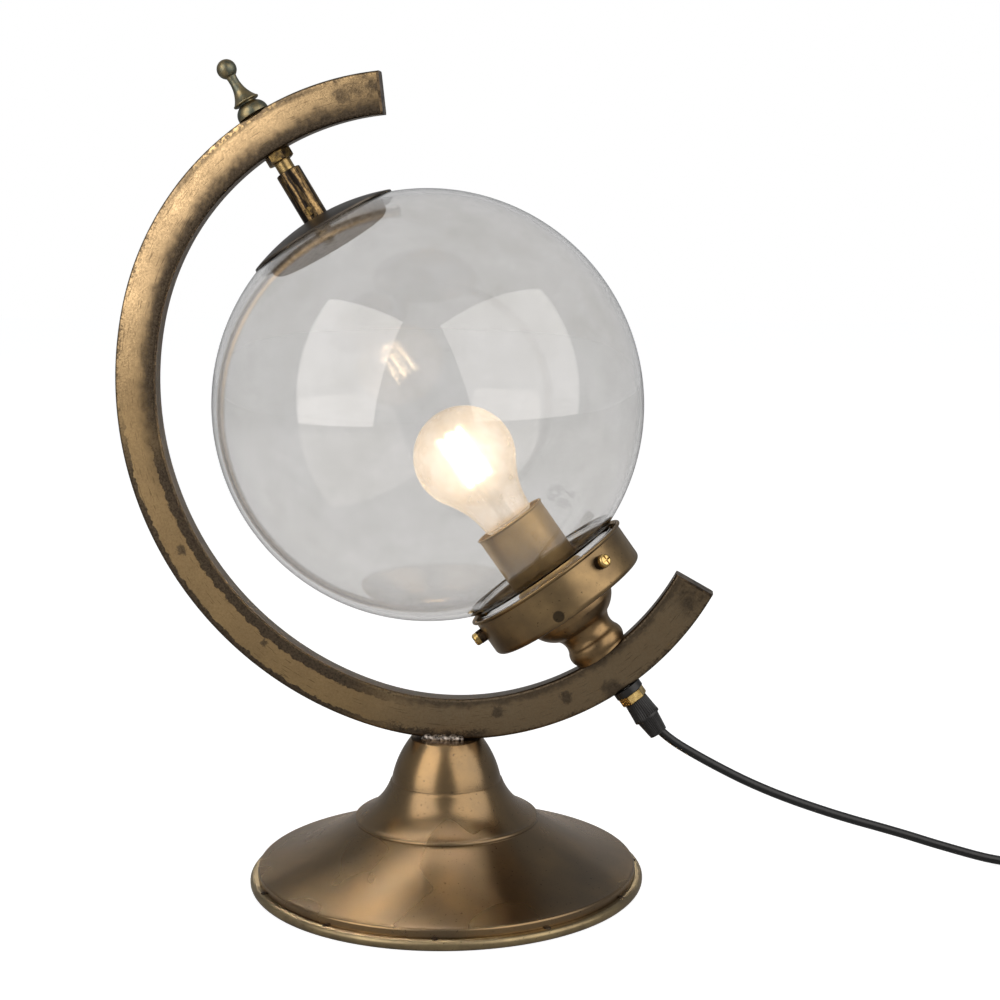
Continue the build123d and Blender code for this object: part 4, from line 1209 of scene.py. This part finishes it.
pillar_line = [
    (rod_hole, gallery_floor),
    (flange[0], gallery_floor),
    flange,
    *arc(flange, dish_end, -dish_bulge, 14),
    *arc(waist_start, throat, waist_hollow, 14),
    foot_start,
    *arc(foot_start, foot_end, -foot_bulge, 14),
    *[(foot_radius - saddle_step * index, seat_distance + saddle_sink) for index in range(7)],
]
pillar_bm = spun(pillar_line, lower)
saddle_middle = bow_arcs[-1][0] * MM
saddle_radius = (bow_arcs[-1][1] - bow_width) * MM
for vertex in pillar_bm.verts:
    from_middle = vertex.co - saddle_middle
    from_middle.y = 0
    if from_middle.length > saddle_radius:
        vertex.co -= from_middle * (1 - saddle_radius / from_middle.length)
pillar = keep("pillar_turned", pillar_bm, "lamp", pillar_finish)
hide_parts("pillar")
for piece in (gallery, pillar):
    soften(piece, 0.3, angle=40)
print("gallery and pillar faces:", len(gallery.data.polygons), len(pillar.data.polygons))

# %% [markdown]
# ## Cord grip
# The grip is moulded soft plastic: two cones with fine ribs along them, so that fingers can
# screw it on, and a collar between the two.

# %% Piece: cord grip
grip_start = 211.353
grip_mid = grip_start + 12.2
grip_end = grip_start + 23.8
rib_count = 36
rib_depth = 0.35
rib_floor = 5.2
rib_slack = 0.1
rib_ends = ((grip_start + 1.0, grip_mid - 1.6), (grip_mid + 0.8, grip_end - 0.8))
grip_root = 7.0
grip_belly = 8.1
grip_step = 1.1
grip_tip = 5.5
grip_bore = 3.3
grip_floor = grip_start + 2.7
grip_line = [
    (rod_hole, grip_start),
    (grip_root, grip_start),
    (grip_root + 0.1, rib_ends[0][0]),
    (grip_belly - 0.15, rib_ends[0][1]),
    (grip_belly, rib_ends[0][1] + 0.3),
    (grip_belly, grip_mid),
    (grip_belly - grip_step, grip_mid),
    (grip_belly - grip_step - 0.1, rib_ends[1][0]),
    (grip_tip + 0.1, rib_ends[1][1]),
    (grip_tip, grip_end),
    (grip_bore, grip_end),
    (grip_bore, grip_floor),
    (rod_hole, grip_floor),
]
grip_bm = spun(grip_line, lower, steps=4 * rib_count)
across_axis = lower_axis.cross(sideways)
for vertex in grip_bm.verts:
    distance = (vertex.co - globe_middle).dot(lower_axis)
    outwards = vertex.co - globe_middle - lower_axis * distance
    on_cone = any(
        start - rib_slack < distance / MM < end + rib_slack for start, end in rib_ends
    )
    turn = math.atan2(outwards.dot(sideways), outwards.dot(across_axis))
    in_groove = (turn * rib_count / math.tau + 0.125) % 1 < 0.5
    if on_cone and in_groove and outwards.length > rib_floor * MM:
        vertex.co -= outwards.normalized() * rib_depth * MM
grip = keep("cord_grip_ribbed", grip_bm, "lamp", black_plastic)
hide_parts("cord_grip")
print("grip faces:", len(grip.data.polygons))

# %% [markdown]
# ## Bulb and socket cup
# The bulb is a hazy lamp with upright filaments; its glass is blown with a wall of a
# millimetre. The cup round the lampholder is drawn brass with a rolled edge.

# %% Pieces: bulb glass, socket cup
bulb_radius = 30.0
bulb_middle = 36.3
bulb_wall = 1.0
bulb_neck = (15.5, 80.8)
bulb_neck_hollow = 2.1
bulb_foot = (13.2, 83.3)
crown = rounded((0, bulb_middle), bulb_radius, -90, 35, 40)
bulb_line = [
    (0, bulb_middle - bulb_radius),
    *crown[1:],
    *arc(crown[-1], bulb_neck, bulb_neck_hollow, 16),
    bulb_foot,
]
bulb = turned(
    "bulb_glass", walled(bulb_line, bulb_wall), lower, "bulb", bulb_finish, steps=96
)
socket_floor = gallery_floor - gallery_sheet
socket_sheet = 0.8
socket_flat = 18.6
socket_radius = 21.6
socket_corner = (18.2, 138.8)
socket_round = 3.4
socket_wall_end = 83.2
edge_middle = (socket_radius, 82.0)
edge_radius = 0.7
edge_end = 82.6
socket_line = [
    (rod_hole, socket_floor),
    (socket_flat, socket_floor),
    *rounded(socket_corner, socket_round, 90, 0, 8),
    (socket_radius, socket_wall_end),
    *rounded(edge_middle, edge_radius, 60, -180, 12),
    (socket_radius - socket_sheet, edge_end),
    *rounded(socket_corner, socket_round - socket_sheet, 0, 90, 8),
    (rod_hole, socket_floor - socket_sheet),
]
socket = turned(
    "socket_cup", socket_line, lower, "lamp", socket_finish, steps=96
)
print("bulb and cup faces:", len(bulb.data.polygons), len(socket.data.polygons))

# %% [markdown]
# ## Finishes for the solids that stay
# Screws, nuts, rods, the switch and the plug have the right shape already, so they only get
# the finish of what they are made of.

# %% Finishes onto the solids that stay
kept_solids = (
    (steel, ("base_plate", "holder_rod", "switch_screws")),
    (casting, ("ballast",)),
    (felt, ("felt_pad",)),
    (plate_brass, ("bow_plate_upper", "bow_plate_lower")),
    (rod_brass, ("crown_rod",)),
    (browned_brass, ("crown_nut", "sleeve_screw")),
    (seat_rubber, ("seat_ring",)),
    # painted shade: the bosses' dark brown stands in for their shade
    (shade_dark_bronze, ("gallery_bosses",)),
    (bright_brass, ("gallery_screw_a", "gallery_screw_b", "gallery_screw_c", "holder_nut")),
    (bright_brass, ("screw_shell", "centre_contact", "outlet_nut", "switch_terminals")),
    (ceramic, ("lampholder_body",)),
    (nickel, ("bulb_cap", "bulb_tip", "filament_frame", "plug_pins")),
    (black_glass, ("bulb_insulator",)),
    (stem_glass, ("bulb_stem",)),
    (filament_finish, ("filaments",)),
    (rubber, ("inner_lead",)),
    (black_plastic, ("outlet_washer", "cord_tie", "plug_body")),
    (black_plastic, ("switch_lower", "switch_upper", "switch_rocker")),
)
dressed = 0
for finish, node_names in kept_solids:
    for node_name in node_names:
        for slot in nodes[node_name].material_slots:
            slot.material = finish
        dressed += 1
cord_curve.materials.append(rubber)
print("dressed solids:", dressed)
